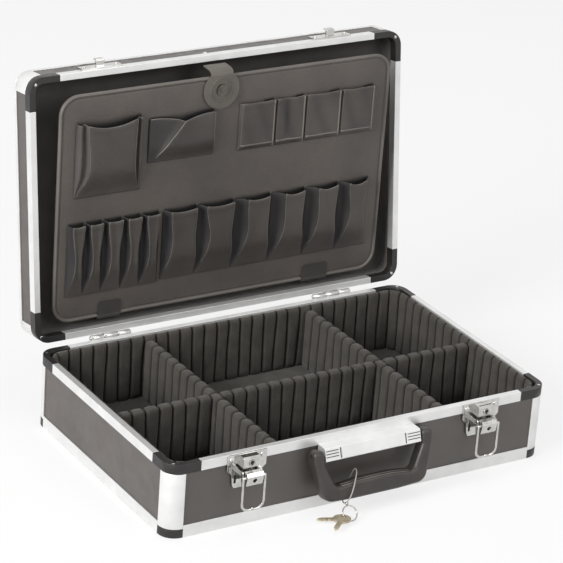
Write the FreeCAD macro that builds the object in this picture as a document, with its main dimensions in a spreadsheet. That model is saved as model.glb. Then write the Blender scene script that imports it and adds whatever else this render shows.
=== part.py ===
import FreeCAD, Part
import math
import os
from types import SimpleNamespace

import Sketcher

# Aluminium-edged case with two latches, a hinged lid and a tool pallet in the lid.
# Millimetres and degrees. X runs to the right, the front faces -Y, Z is up, and the
# origin is the centre of the underside. The case stands open, as in the photo.

# Driving dimensions, by name; they go into the sheet as plain numbers.
SIZES = {
    # Shell
    "case_width": 425.0,
    "case_depth": 268.0,
    "base_height": 76.0,
    "lid_height": 34.0,
    "rim_gap": 0.5,
    "lid_opening": 97.0,
    "sheet_gauge": 1.2,
    "board_gauge": 4.0,
    "corner_round": 16.0,
    "edge_strip": 12.4,
    "rim_drop": 9.8,
    "rim_leg": 33.0,
    "corner_drop": 10.0,
    "post_face": 17.5,
    "foot_cap": 9.0,
    "top_cap": 2.0,
    "lid_edge": 4.4,
    "lining_gauge": 1.5,
    # Foam
    "floor_foam": 3.0,
    "liner_foam": 5.0,
    "liner_below_rim": 2.0,
    "divider_foam": 10.0,
    "divider_below_rim": 4.5,
    "divider_spread": 94.0,
    "cross_shift": 11.0,
    "groove_pitch": 14.0,
    "groove_width": 2.2,
    "groove_sink": 2.5,
    "foam_play": 0.2,
    # Hinges
    "hinge_spread": 130.0,
    "hinge_width": 44.0,
    "hinge_standoff": 3.5,
    "knuckle_radius": 3.0,
    "hinge_pin_radius": 1.5,
    "hinge_play": 0.05,
    # Latches
    "latch_spread": 131.5,
    "latch_width": 42.0,
    "latch_gauge": 1.5,
    "lever_width": 17.6,
    "lever_pin_radius": 1.5,
    "lever_pin_out": 10.0,
    "lever_pin_drop": 16.5,
    "bail_out": 15.5,
    "bail_drop": 18.5,
    "bail_length": 34.0,
    "bail_half_width": 11.7,
    "bail_wire": 1.3,
    "lock_radius": 3.2,
    "lock_drop": 7.0,
    "running_fit": 0.05,
    # Handle
    "bracket_cheek": 5.0,
    "plate_inset": 18.0,
    "handle_pin_radius": 2.5,
    "handle_pin_out": 9.0,
    "handle_pin_drop": 16.0,
    "handle_reach": 38.5,
    "handle_tilt": 13.0,
    "handle_top_width": 133.0,
    "handle_taper": 10.0,
    "handle_arm": 11.7,
    "handle_foot": 13.0,
    "arm_clearance": 1.3,
    "grip_height": 13.5,
    "grip_depth": 15.0,
    "grip_crown": 2.8,
    "grip_belly": 1.6,
    # Keys
    "key_length": 32.0,
    "key_bow": 8.0,
    "key_gauge": 1.6,
    "key_ring_radius": 7.5,
    "key_ring_wire": 0.6,
    "tie_wire": 0.6,
    "tie_clearance": 2.3,
    # Tool pallet
    "pallet_inset": 47.0,
    "pallet_short": 29.0,
    "pallet_ahead": 12.5,
    "pallet_lift": 15.75,
    "pallet_gauge": 4.0,
    "pallet_round": 20.0,
    "pocket_deep": 8.5,
    "pocket_wall": 1.0,
    "strap_width": 25.0,
    "strap_tab": 20.0,
    "strap_shift": 12.0,
    "strap_gauge": 1.2,
}

doc = FreeCAD.newDocument("aluminium_case")
sheet = doc.addObject("Spreadsheet::Sheet", "Sizes")


class Size:
    """A value together with the formula that ties it to the sheet."""

    def __init__(self, value, formula):
        self.value = value
        self.formula = formula

    def __add__(self, other):
        other = as_size(other)
        return Size(self.value + other.value, f"({self.formula} + {other.formula})")

    def __sub__(self, other):
        other = as_size(other)
        return Size(self.value - other.value, f"({self.formula} - {other.formula})")

    def __mul__(self, other):
        other = as_size(other)
        return Size(self.value * other.value, f"({self.formula} * {other.formula})")

    def __truediv__(self, other):
        other = as_size(other)
        return Size(self.value / other.value, f"({self.formula} / {other.formula})")

    def __radd__(self, other):
        return as_size(other) + self

    def __rsub__(self, other):
        return as_size(other) - self

    def __rmul__(self, other):
        return as_size(other) * self

    def __neg__(self):
        return 0 - self


def as_size(number):
    """The number as a Size, with its own digits as formula."""
    if isinstance(number, Size):
        return number
    return Size(float(number), f"({float(number)!r})")


def cosine(angle):
    return Size(math.cos(math.radians(angle.value)), f"cos({angle.formula})")


def sine(angle):
    return Size(math.sin(math.radians(angle.value)), f"sin({angle.formula})")


def whole(size):
    """The size rounded down to a whole number."""
    return Size(math.floor(size.value), f"floor({size.formula})")


for row, (alias, number) in enumerate(SIZES.items(), start=1):
    sheet.set(f"A{row}", alias)
    sheet.set(f"B{row}", str(number))
    sheet.setAlias(f"B{row}", alias)
doc.recompute()
s = SimpleNamespace(**{alias: Size(number, f"Sizes.{alias}") for alias, number in SIZES.items()})

X_WAY = FreeCAD.Vector(1, 0, 0)
Y_WAY = FreeCAD.Vector(0, 1, 0)
nodes = {}

# Shared derived sizes
half_w = s.case_width / 2
half_d = s.case_depth / 2
gauge = s.sheet_gauge
board = s.board_gauge
rim = board + 2 * gauge
base_top = s.base_height
lid_rim = base_top + s.rim_gap
lid_top = lid_rim + s.lid_height
hinge_y = half_d + s.hinge_standoff
hinge_z = base_top + s.rim_gap / 2
floor_z = gauge + board


# Building helpers


def bind(thing, prop, size):
    thing.setExpression(prop, as_size(size).formula)


def keep(name, thing):
    """Hand the object in as the node of that name."""
    thing.Label = name
    nodes[name] = thing
    return thing


def tie_point(sketch, line, end, across, up):
    """Hold one point of a sketch at two sizes from the origin."""
    for kind, size in (("DistanceX", as_size(across)), ("DistanceY", as_size(up))):
        index = sketch.addConstraint(Sketcher.Constraint(kind, -1, 1, line, end, size.value))
        sketch.setExpression(f"Constraints[{index}]", size.formula)


def draw_outline(sketch, corners):
    """A closed outline of straight lines through the corners."""
    first = sketch.GeometryCount
    count = len(corners)
    points = [FreeCAD.Vector(as_size(a).value, as_size(b).value, 0) for a, b in corners]
    for i in range(count):
        sketch.addGeometry(Part.LineSegment(points[i], points[(i + 1) % count]))
    for i in range(count):
        follower = first + (i + 1) % count
        sketch.addConstraint(Sketcher.Constraint("Coincident", first + i, 2, follower, 1))
    for i, (across, up) in enumerate(corners):
        tie_point(sketch, first + i, 1, across, up)


def draw_circle(sketch, across, up, radius):
    centre = FreeCAD.Vector(as_size(across).value, as_size(up).value, 0)
    radius = as_size(radius)
    line = sketch.addGeometry(Part.Circle(centre, FreeCAD.Vector(0, 0, 1), radius.value))
    index = sketch.addConstraint(Sketcher.Constraint("Radius", line, radius.value))
    sketch.setExpression(f"Constraints[{index}]", radius.formula)
    tie_point(sketch, line, 3, across, up)


def rect(x0, y0, x1, y1):
    return [(x0, y0), (x1, y0), (x1, y1), (x0, y1)]


def new_body(name):
    return doc.addObject("PartDesign::Body", name)


def new_sketch(body, plane, start, outlines=(), circles=()):
    """A sketch parallel to an origin plane of the body, moved along its normal."""
    sketch = body.newObject("Sketcher::SketchObject", f"{body.Name}_sketch")
    support = next(f for f in body.Origin.OriginFeatures if f.Role == f"{plane}_Plane")
    sketch.AttachmentSupport = [(support, "")]
    sketch.MapMode = "FlatFace"
    bind(sketch, "AttachmentOffset.Base.z", start)
    for outline in outlines:
        draw_outline(sketch, outline)
    for across, up, radius in circles:
        draw_circle(sketch, across, up, radius)
    return sketch


def pad(body, plane, start, length, outlines=(), circles=()):
    """Add material from the start along the normal of the plane. XZ points to the front."""
    feature = body.newObject("PartDesign::Pad", f"{body.Name}_pad")
    feature.Profile = new_sketch(body, plane, start, outlines, circles)
    bind(feature, "Length", length)
    body.Tip = feature
    return feature


def cut(body, plane, start, length, outlines=(), circles=()):
    """Remove material from the start along the normal of the plane."""
    feature = body.newObject("PartDesign::Pocket", f"{body.Name}_pocket")
    feature.Profile = new_sketch(body, plane, start, outlines, circles)
    feature.Reversed = True
    bind(feature, "Length", length)
    body.Tip = feature
    return feature


def repeat(body, feature, direction, count, step):
    """Repeat the last cut in a straight row along an axis of its sketch."""
    row = body.newObject("PartDesign::LinearPattern", f"{body.Name}_row")
    row.Originals = [feature]
    row.Direction = (feature.Profile[0], [direction])
    bind(row, "Length", (count - 1) * step)
    bind(row, "Occurrences", count)
    body.Tip = row
    return row


def lies_at(edge, x=None, y=None, z=None):
    """Whether the whole edge lies at the coordinates that are given."""
    box = edge.BoundBox
    pairs = ((x, box.XMin, box.XMax), (y, box.YMin, box.YMax), (z, box.ZMin, box.ZMax))
    for size, low, high in pairs:
        if size is None:
            continue
        value = as_size(size).value
        if abs(low - value) > 0.001 or abs(high - value) > 0.001:
            return False
    return True


def round_edges(body, radius, chosen):
    """Round the edges of the body that the test picks."""
    doc.recompute()
    base = body.Tip
    names = [f"Edge{i}" for i, edge in enumerate(base.Shape.Edges, start=1) if chosen(edge)]
    feature = body.newObject("PartDesign::Fillet", f"{body.Name}_round")
    feature.Base = (base, names)
    bind(feature, "Radius", radius)
    body.Tip = feature
    return feature


def block(name, x0, x1, y0, y1, z0, z1):
    """A plain box between six sizes."""
    box = doc.addObject("Part::Box", name)
    bind(box, "Length", x1 - x0)
    bind(box, "Width", y1 - y0)
    bind(box, "Height", z1 - z0)
    for axis, size in zip("xyz", (x0, y0, z0)):
        bind(box, f"Placement.Base.{axis}", size)
    return box


def rod(name, radius, length, x, y, z, way):
    """A round bar that starts at x, y, z and runs along the way given."""
    bar = doc.addObject("Part::Cylinder", name)
    bind(bar, "Radius", radius)
    bind(bar, "Height", length)
    bar.Placement = FreeCAD.Placement(
        FreeCAD.Vector(0, 0, 0), FreeCAD.Rotation(FreeCAD.Vector(0, 0, 1), way)
    )
    for axis, size in zip("xyz", (x, y, z)):
        bind(bar, f"Placement.Base.{axis}", size)
    return bar


def mirrored(thing, normal):
    """The thing mirrored in the plane through the origin with that normal."""
    copy = doc.addObject("Part::Mirroring", f"{thing.Name}_mirrored")
    copy.Source = thing
    copy.Base = FreeCAD.Vector(0, 0, 0)
    copy.Normal = normal
    return copy


def group(name, things):
    parts = doc.addObject("Part::Compound", name)
    parts.Links = things
    return keep(name, parts)


def fuse(name, things):
    joined = doc.addObject("Part::MultiFuse", f"{name}_solid")
    joined.Shapes = things
    return joined


def both_sides(name, things):
    """A node of the things and their mirror images on the other side."""
    return group(name, things + [mirrored(thing, X_WAY) for thing in things])


def four_sides(name, front, left):
    """A node of a front and a left piece and their mirror images."""
    return group(name, [front, mirrored(front, Y_WAY), left, mirrored(left, X_WAY)])


def four_corners(name, corner):
    other = mirrored(corner, X_WAY)
    return group(name, [corner, other, mirrored(corner, Y_WAY), mirrored(other, Y_WAY)])


def turn(thing, angle, y, z):
    """Swing the thing about a line along X, its lower end to the front and its front up."""
    thing.Placement = FreeCAD.Placement(
        FreeCAD.Vector(0, 0, 0), FreeCAD.Rotation(FreeCAD.Vector(-1, 0, 0), angle.value)
    )
    bind(thing, "Placement.Rotation.Angle", angle)
    bind(thing, "Placement.Base.y", y - y * cosine(angle) - z * sine(angle))
    bind(thing, "Placement.Base.z", z + y * sine(angle) - z * cosine(angle))


def open_lid(thing):
    """Lid pieces are drawn on the closed lid and swung open with it."""
    turn(thing, s.lid_opening, hinge_y, hinge_z)


def angle_outline(inset, leg, thick):
    """An angle in plan at the front left corner, with two legs along the walls."""
    x = inset - half_w
    y = inset - half_d
    return [
        (x, y),
        (x + leg, y),
        (x + leg, y + thick),
        (x + thick, y + thick),
        (x + thick, y + leg),
        (x, y + leg),
    ]


def round_corner(body, inset, thick, radius):
    """Round a corner angle on its outside and, by its thickness less, on its inside."""
    x = inset - half_w
    y = inset - half_d
    round_edges(body, radius, lambda e: lies_at(e, x=x, y=y))
    round_edges(body, radius - thick, lambda e: lies_at(e, x=x + thick, y=y + thick))


def corner_angle(name, inset, leg, thick, radius, low, high):
    body = new_body(name)
    pad(body, "XY", low, high - low, [angle_outline(inset, leg, thick)])
    round_corner(body, inset, thick, radius)
    return body


def rim_corner(name, low, high, slot_low, slot_high):
    """A plastic rim corner with slots for the ends of the two boards."""
    body = corner_angle(name, as_size(0), s.rim_leg, rim, s.corner_round, low, high)
    x = gauge - half_w
    y = gauge - half_d
    along_front = rect(s.corner_round - half_w, y, s.rim_leg - half_w, y + board)
    along_side = rect(x, s.corner_round - half_d, x + board, s.rim_leg - half_d)
    cut(body, "XY", slot_low, slot_high - slot_low, [along_front, along_side])
    return body


def cap_corner(name, low, high, plate_low):
    """A corner cap: an upright angle with a flat plate of the same legs."""
    body = new_body(name)
    legs = s.post_face
    pad(body, "XY", low, high - low, [angle_outline(as_size(0), legs, gauge)])
    pad(body, "XY", plate_low, gauge, [angle_outline(as_size(0), legs, s.edge_strip)])
    round_corner(body, as_size(0), gauge, s.corner_round)
    return body


# Base shell

bottom = keep("base_bottom", new_body("base_bottom"))
pad(bottom, "XY", gauge, board, [rect(gauge - half_w, gauge - half_d, half_w - gauge, half_d - gauge)])
round_edges(
    bottom,
    s.corner_round - gauge,
    lambda e: e.BoundBox.ZLength > board.value / 2,
)
field_x = half_w - s.edge_strip
field_y = half_d - s.edge_strip
pad(bottom, "XY", as_size(0), gauge, [rect(-field_x, -field_y, field_x, field_y)])

wall_x = half_w - s.corner_round
wall_y = half_d - s.corner_round
wall_top = base_top - gauge
keep("base_front", block("base_front", -wall_x, wall_x, gauge - half_d, floor_z - half_d, floor_z, wall_top))
keep("base_back", block("base_back", -wall_x, wall_x, half_d - floor_z, half_d - gauge, floor_z, wall_top))
keep("base_left", block("base_left", gauge - half_w, floor_z - half_w, -wall_y, wall_y, floor_z, wall_top))
keep("base_right", block("base_right", half_w - floor_z, half_w - gauge, -wall_y, wall_y, floor_z, wall_top))


def rim_outline(face):
    """Section of the base rim, an upturned channel over the board."""
    low = base_top - s.rim_drop
    return [
        (face, low),
        (face, base_top),
        (face + rim, base_top),
        (face + rim, low),
        (face + rim - gauge, low),
        (face + rim - gauge, base_top - gauge),
        (face + gauge, base_top - gauge),
        (face + gauge, low),
    ]


def strip_outline(face):
    """Section of the bottom edge strip, an angle under the wall."""
    return [
        (face, as_size(0)),
        (face + s.edge_strip, as_size(0)),
        (face + s.edge_strip, gauge),
        (face + gauge, gauge),
        (face + gauge, s.edge_strip),
        (face, s.edge_strip),
    ]


def wall_profiles(name, outline, end):
    """Four straight profiles that stop short of the corners by the same amount."""
    front = new_body(f"{name}_front")
    pad(front, "YZ", end - half_w, 2 * (half_w - end), [outline(-half_d)])
    left = new_body(f"{name}_left")
    pad(left, "XZ", end - half_d, 2 * (half_d - end), [outline(-half_w)])
    return front, left


four_sides("base_rim", *wall_profiles("base_rim", rim_outline, s.rim_leg))
four_sides("base_edge_strips", *wall_profiles("base_edge", strip_outline, s.post_face))
post_top = base_top - s.corner_drop
four_corners(
    "base_posts",
    corner_angle("base_post", as_size(0), s.post_face, gauge, s.corner_round, s.foot_cap, post_top),
)
four_corners("base_rim_corners", rim_corner("base_rim_corner", post_top, base_top, post_top, wall_top))
four_corners("base_foot_caps", cap_corner("base_foot_cap", as_size(0), s.foot_cap, as_size(0)))


# Foam

foam_low = floor_z + s.floor_foam
liner_top = base_top - s.liner_below_rim
divider_top = base_top - s.divider_below_rim
liner_end = s.corner_round + 1
liner_round = liner_end - rim - 0.5
room_x = half_w - rim - s.liner_foam
room_y = half_d - rim - s.liner_foam


def groove_count(length):
    return whole(length / s.groove_pitch)


def groove_start(length):
    """Where the first groove starts, so that the row is centred on the length."""
    count = groove_count(length)
    return -(count - 1) * s.groove_pitch / 2 - s.groove_width / 2


foam_floor = keep("foam_floor", new_body("foam_floor"))
pad(
    foam_floor,
    "XY",
    floor_z,
    s.floor_foam,
    [rect(floor_z - half_w, floor_z - half_d, half_w - floor_z, half_d - floor_z)],
)
round_edges(foam_floor, s.corner_round - floor_z, lambda e: e.BoundBox.ZLength > s.floor_foam.value / 2)

front_liner = new_body("foam_liner_front")
liner_x = half_w - liner_end
liner_face = rim + s.liner_foam - half_d
pad(front_liner, "XY", foam_low, liner_top - foam_low, [rect(-liner_x, rim - half_d, liner_x, liner_face)])
groove_x = groove_start(2 * liner_x)
groove = cut(
    front_liner,
    "XY",
    foam_low,
    liner_top - foam_low,
    [rect(groove_x, liner_face - s.groove_sink, groove_x + s.groove_width, liner_face)],
)
repeat(front_liner, groove, "H_Axis", groove_count(2 * liner_x), s.groove_pitch)
keep("foam_liner_front", front_liner)
keep("foam_liner_back", mirrored(front_liner, Y_WAY))

left_liner = new_body("foam_liner_left")
liner_y = half_d - liner_end
liner_side = rim + s.liner_foam - half_w
pad(left_liner, "XY", foam_low, liner_top - foam_low, [rect(rim - half_w, -liner_y, liner_side, liner_y)])
groove_y = groove_start(2 * liner_y)
groove = cut(
    left_liner,
    "XY",
    foam_low,
    liner_top - foam_low,
    [rect(liner_side - s.groove_sink, groove_y, liner_side, groove_y + s.groove_width)],
)
repeat(left_liner, groove, "V_Axis", groove_count(2 * liner_y), s.groove_pitch)
both_sides("foam_liner_sides", [left_liner])

four_corners(
    "foam_liner_corners",
    corner_angle(
        "foam_liner_corner", rim, liner_end - rim, s.liner_foam, liner_round, foam_low, liner_top
    ),
)


def divider(name, along, x0, x1, y0, y1):
    """A foam divider with a rounded top and grooves on both faces."""
    body = new_body(name)
    height = divider_top - foam_low
    pad(body, "XY", foam_low, height, [rect(x0, y0, x1, y1)])
    sides = (x0, x1) if along == "Y" else (y0, y1)
    if along == "Y":
        picked = lambda e: lies_at(e, z=divider_top) and (lies_at(e, x=x0) or lies_at(e, x=x1))
    else:
        picked = lambda e: lies_at(e, z=divider_top) and (lies_at(e, y=y0) or lies_at(e, y=y1))
    round_edges(body, s.divider_foam / 3, picked)
    length = y1 - y0 if along == "Y" else x1 - x0
    middle = (y0 + y1) / 2 if along == "Y" else (x0 + x1) / 2
    start = middle + groove_start(length)
    stop = start + s.groove_width
    low, high = sides
    if along == "Y":
        slots = [
            rect(low, start, low + s.groove_sink, stop),
            rect(high - s.groove_sink, start, high, stop),
        ]
    else:
        slots = [
            rect(start, low, stop, low + s.groove_sink),
            rect(start, high - s.groove_sink, stop, high),
        ]
    slot = cut(body, "XY", foam_low, height, slots)
    axis = "V_Axis" if along == "Y" else "H_Axis"
    repeat(body, slot, axis, groove_count(length), s.groove_pitch)
    return keep(name, body)


long_y = room_y - s.foam_play
half_foam = s.divider_foam / 2
for side, name in ((-1, "divider_long_left"), (1, "divider_long_right")):
    middle = side * s.divider_spread
    divider(name, "Y", middle - half_foam, middle + half_foam, -long_y, long_y)
cross_low = -s.cross_shift - half_foam
cross_high = -s.cross_shift + half_foam
bay = s.divider_spread + half_foam + s.foam_play
divider("divider_cross_left", "X", -(room_x - s.foam_play), -bay, cross_low, cross_high)
inner_bay = s.divider_spread - half_foam - s.foam_play
divider("divider_cross_middle", "X", -inner_bay, inner_bay, cross_low, cross_high)
divider("divider_cross_right", "X", bay, room_x - s.foam_play, cross_low, cross_high)


# Latches, drawn on the left and mirrored


def out(distance):
    """The Y of a point that far in front of the front face."""
    return -(half_d + distance)


latch_x = -s.latch_spread
pin_y = out(s.lever_pin_out)
pin_z = base_top - s.lever_pin_drop
bail_y = out(s.bail_out)
bail_z = base_top - s.bail_drop
lock_z = base_top - s.lock_drop
lever_half = s.lever_width / 2
ear_inner = lever_half + 0.5
ear_outer = ear_inner + s.latch_gauge
ear_half = s.lever_pin_radius + 1.1

plate_top = base_top - 0.5
plate_half = s.latch_width / 2
latch_plate = new_body("latch_plate")
pad(
    latch_plate,
    "XZ",
    half_d,
    s.latch_gauge,
    [
        [
            (latch_x - plate_half, plate_top),
            (latch_x + plate_half, plate_top),
            (latch_x + plate_half, plate_top - 15.5),
            (latch_x + plate_half - 5, plate_top - 20),
            (latch_x + plate_half - 6, plate_top - 31),
            (latch_x + plate_half - 8, plate_top - 34.5),
            (latch_x - plate_half + 8, plate_top - 34.5),
            (latch_x - plate_half + 6, plate_top - 31),
            (latch_x - plate_half + 5, plate_top - 20),
            (latch_x - plate_half, plate_top - 15.5),
        ]
    ],
)
ear_tip = out(s.lever_pin_out + ear_half)
for ear_x in (latch_x - ear_outer, latch_x + ear_inner):
    ear = rect(ear_tip, pin_z - ear_half, out(s.latch_gauge / 2), pin_z + ear_half)
    pad(latch_plate, "YZ", ear_x, s.latch_gauge, [ear], [(pin_y, pin_z, s.lever_pin_radius)])
round_edges(
    latch_plate,
    ear_half - 0.1,
    lambda e: lies_at(e, y=ear_tip, z=pin_z - ear_half) or lies_at(e, y=ear_tip, z=pin_z + ear_half),
)
both_sides("latch_plates", [latch_plate])
latch_pin = rod("latch_pin", s.lever_pin_radius, 2 * ear_outer, latch_x - ear_outer, pin_y, pin_z, X_WAY)
both_sides("latch_pins", [latch_pin])

case_back = out(s.latch_gauge)
case_front = s.lever_pin_out
lock_case = new_body("lock_case")
pad(
    lock_case,
    "YZ",
    latch_x - lever_half,
    s.lever_width,
    [
        [
            (case_back, lock_z - 4.5),
            (out(case_front), lock_z - 4.5),
            (out(case_front), lock_z + 4),
            (out(case_front - 2), lock_z + 6),
            (case_back, lock_z + 6),
        ]
    ],
)
cut(
    lock_case,
    "XZ",
    half_d + case_front - 6,
    as_size(7),
    circles=[(latch_x, lock_z, s.lock_radius + s.running_fit)],
)
both_sides("lock_cases", [lock_case])

barrel = new_body("lock_left")
barrel_back = half_d + case_front - 5.9
pad(barrel, "XZ", barrel_back, as_size(6.5), circles=[(latch_x, lock_z, s.lock_radius)])
cut(barrel, "XZ", barrel_back + 3.5, as_size(4), [rect(latch_x - 0.45, lock_z - 2, latch_x + 0.45, lock_z + 2)])
keep("lock_left", barrel)
keep("lock_right", mirrored(barrel, X_WAY))

lever = new_body("lever_left")
lever_outline = [
    (pin_y + 2.5, pin_z + 3.5),
    (pin_y - 6.5, pin_z + 2.5),
    (pin_y - 8.5, pin_z - 0.5),
    (pin_y - 6, pin_z - 10.5),
    (pin_y - 3, pin_z - 13.5),
    (pin_y + 2, pin_z - 13.5),
    (pin_y + 3, pin_z - 9.5),
]
pin_bore = (pin_y, pin_z, s.lever_pin_radius + s.running_fit)
pad(lever, "YZ", latch_x - lever_half, s.lever_width, [lever_outline], [pin_bore])
socket = as_size(3.4)
for socket_x in (latch_x - lever_half, latch_x + lever_half - socket):
    cut(lever, "YZ", socket_x, socket, circles=[(bail_y, bail_z, s.bail_wire + s.running_fit)])
cut(lever, "XZ", half_d + s.lever_pin_out + 3, as_size(8), circles=[(latch_x, pin_z - 5.5, as_size(2.2))])
keep("lever_left", lever)
keep("lever_right", mirrored(lever, X_WAY))


def ball(name, x, y, z, radius):
    """A round bend in a wire."""
    sphere = doc.addObject("Part::Sphere", name)
    bind(sphere, "Radius", radius)
    for axis, size in zip("xyz", (x, y, z)):
        bind(sphere, f"Placement.Base.{axis}", size)
    return sphere


wire = s.bail_wire
bar_half = as_size(4.5)
bend = s.bail_half_width - bar_half
bend_step = 30
bend_run = bend * (2 * math.sin(math.radians(bend_step / 2)))
bar_z = bail_z - s.bail_length
bail_end = lever_half - socket + 0.3
bail_pieces = [rod("bail_bar", wire, 2 * bar_half, latch_x - bar_half, bail_y, bar_z, X_WAY)]
for side in (-1, 1):
    leg_x = latch_x + side * s.bail_half_width
    end_x = latch_x + side * bail_end
    end_length = s.bail_half_width - bail_end
    bail_pieces += [
        rod("bail_end", wire, end_length, end_x, bail_y, bail_z, FreeCAD.Vector(side, 0, 0)),
        rod("bail_leg", wire, s.bail_length - bend, leg_x, bail_y, bail_z, FreeCAD.Vector(0, 0, -1)),
        ball("bail_elbow", leg_x, bail_y, bail_z, wire),
        ball("bail_bend", latch_x + side * bar_half, bail_y, bar_z, wire),
    ]
    for degrees in range(0, 90, bend_step):
        here = math.radians(degrees)
        halfway = math.radians(degrees + bend_step / 2)
        bend_x = latch_x + side * (bar_half + bend * math.cos(here))
        bend_z = bar_z + bend * (1 - math.sin(here))
        bend_way = FreeCAD.Vector(-side * math.sin(halfway), 0, -math.cos(halfway))
        bail_pieces += [
            rod("bail_run", wire, bend_run, bend_x, bail_y, bend_z, bend_way),
            ball("bail_bend", bend_x, bail_y, bend_z, wire),
        ]
bail = fuse("bail_left", bail_pieces)
keep("bail_left", bail)
keep("bail_right", mirrored(bail, X_WAY))


# Rivet heads


def rivet(x, y, z, way):
    """A rivet head seated on a sheet."""
    head = doc.addObject("Part::Cone", "rivet_head")
    head.Radius1 = 2.6
    head.Radius2 = 1.7
    head.Height = 1.1
    head.Placement = FreeCAD.Placement(
        FreeCAD.Vector(0, 0, 0), FreeCAD.Rotation(FreeCAD.Vector(0, 0, 1), way)
    )
    for axis, size in zip("xyz", (x, y, z)):
        bind(head, f"Placement.Base.{axis}", size)
    return head


leaf_back = half_d + gauge
base_heads = [rivet(latch_x + step, out(s.latch_gauge), base_top - 5.5, -Y_WAY) for step in (-16.5, 16.5)]
base_heads += [rivet(step - s.hinge_spread, leaf_back, base_top - 14, Y_WAY) for step in (-14, 0, 14)]
both_sides("base_rivets", base_heads)


# Handle

top_half = s.handle_top_width / 2
arm_inner = top_half - s.handle_arm
low_half = top_half - s.handle_taper
gap_half = low_half - s.handle_foot
bracket_half = arm_inner - s.arm_clearance
swing_y = out(s.handle_pin_out)
swing_z = base_top - s.handle_pin_drop
bracket = keep("handle_bracket", new_body("handle_bracket"))
hood = [
    (0, -8.5),
    (11, -8.5),
    (12, -9),
    (15.6, -19.8),
    (15.6, -20.5),
    (13.9, -20.5),
    (10.5, -10.2),
    (1.5, -10.2),
    (1.5, -26),
    (0, -26),
]
cheek = [(1, -9.6), (11.3, -9.6), (14.7, -20), (9, -22), (1, -24)]
pad(bracket, "YZ", -bracket_half, 2 * bracket_half, [[(out(a), base_top + b) for a, b in hood]])
for cheek_x in (-bracket_half, bracket_half - s.bracket_cheek):
    pad(
        bracket,
        "YZ",
        cheek_x,
        s.bracket_cheek,
        [[(out(a), base_top + b) for a, b in cheek]],
        [(swing_y, swing_z, s.handle_pin_radius)],
    )

# The bare plate lies on the slant of the hood.
name_half = bracket_half - s.plate_inset
slant = [(12.1, -9.3), (15.5, -19.5), (16.07, -19.31), (12.67, -9.11)]
name_plate = keep("name_plate", new_body("name_plate"))
pad(name_plate, "YZ", -name_half, 2 * name_half, [[(out(a), base_top + b) for a, b in slant]])

pin_start = bracket_half - s.bracket_cheek
pin_end = top_half - 2
handle_pin = rod("handle_pin", s.handle_pin_radius, pin_end - pin_start, pin_start, swing_y, swing_z, X_WAY)
both_sides("handle_pins", [handle_pin])

handle = keep("handle", new_body("handle"))
grip_low = swing_z - s.handle_reach - s.grip_height / 2
grip_high = grip_low + s.grip_height
arm_top = swing_z + 6
belly_half = low_half * 0.45
belly_z = grip_low - s.grip_belly
crown_half = gap_half * 0.45
crown_z = grip_high + s.grip_crown
right_side = [
    (belly_half, belly_z),
    (low_half, grip_low),
    (top_half - 0.5, swing_z - 6),
    (top_half, arm_top),
    (arm_inner, arm_top),
    (arm_inner, swing_z - 8),
    (gap_half, grip_high),
    (crown_half, crown_z),
]
left_side = [(-x, z) for x, z in reversed(right_side)]
grip_start = half_d + s.handle_pin_out - s.grip_depth / 2
pad(handle, "XZ", grip_start, s.grip_depth, [right_side + left_side])


def both_at(edge, x, z):
    return lies_at(edge, x=x, z=z) or lies_at(edge, x=-x, z=z)


round_edges(handle, as_size(12), lambda e: both_at(e, low_half, grip_low))
round_edges(handle, as_size(6), lambda e: both_at(e, gap_half, grip_high))
round_edges(handle, as_size(100), lambda e: both_at(e, belly_half, belly_z) or both_at(e, crown_half, crown_z))
round_edges(handle, as_size(5), lambda e: both_at(e, top_half, arm_top) or both_at(e, arm_inner, arm_top))
grip_back = -grip_start
grip_front = -(grip_start + s.grip_depth)
round_edges(handle, as_size(4), lambda e: lies_at(e, y=grip_back) or lies_at(e, y=grip_front))
swing_bore = (swing_y, swing_z, s.handle_pin_radius + s.running_fit)
cut(handle, "YZ", -s.handle_top_width, 2 * s.handle_top_width, circles=[swing_bore])
turn(handle, s.handle_tilt, swing_y, swing_z)


# Keys on a ring, tied to the grip

grip_y = out(s.handle_pin_out + s.handle_reach * sine(s.handle_tilt))
grip_z = swing_z - s.handle_reach * cosine(s.handle_tilt)
ring_x = as_size(-34)
ring_y = grip_y - 15.8
ring_z = as_size(6.3)
RING_DIP = 48.0


def key(name, hole_x, hole_y, low, heading):
    """A flat key, its hole at the place given and its blade along the heading."""
    body = new_body(name)
    bow_x = as_size(4.5)
    pad(body, "XY", as_size(0), s.key_gauge, circles=[(bow_x, as_size(0), s.key_bow), (0, 0, 2.6)])
    tip = s.key_length - 4
    blade = [
        (s.key_bow + 3, -2.4),
        (tip - 4, -2.4),
        (tip, 0),
        (tip - 2, 2.4),
        (tip - 5, 2.4),
        (tip - 6, 1.4),
        (tip - 7.5, 2.4),
        (tip - 10, 2.4),
        (tip - 11, 1.2),
        (tip - 12.5, 2.4),
        (s.key_bow + 3, 2.4),
    ]
    pad(body, "XY", as_size(0), s.key_gauge, [blade])
    body.Placement = FreeCAD.Placement(
        FreeCAD.Vector(0, 0, 0), FreeCAD.Rotation(FreeCAD.Vector(0, 0, 1), heading)
    )
    for axis, size in zip("xyz", (hole_x, hole_y, low)):
        bind(body, f"Placement.Base.{axis}", size)
    return keep(name, body)


key("key_one", ring_x - 6.0, ring_y - 3.0, as_size(2.2), 158.0)
key("key_two", ring_x - 7.2, ring_y - 1.4, as_size(4.0), 220.0)

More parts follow.
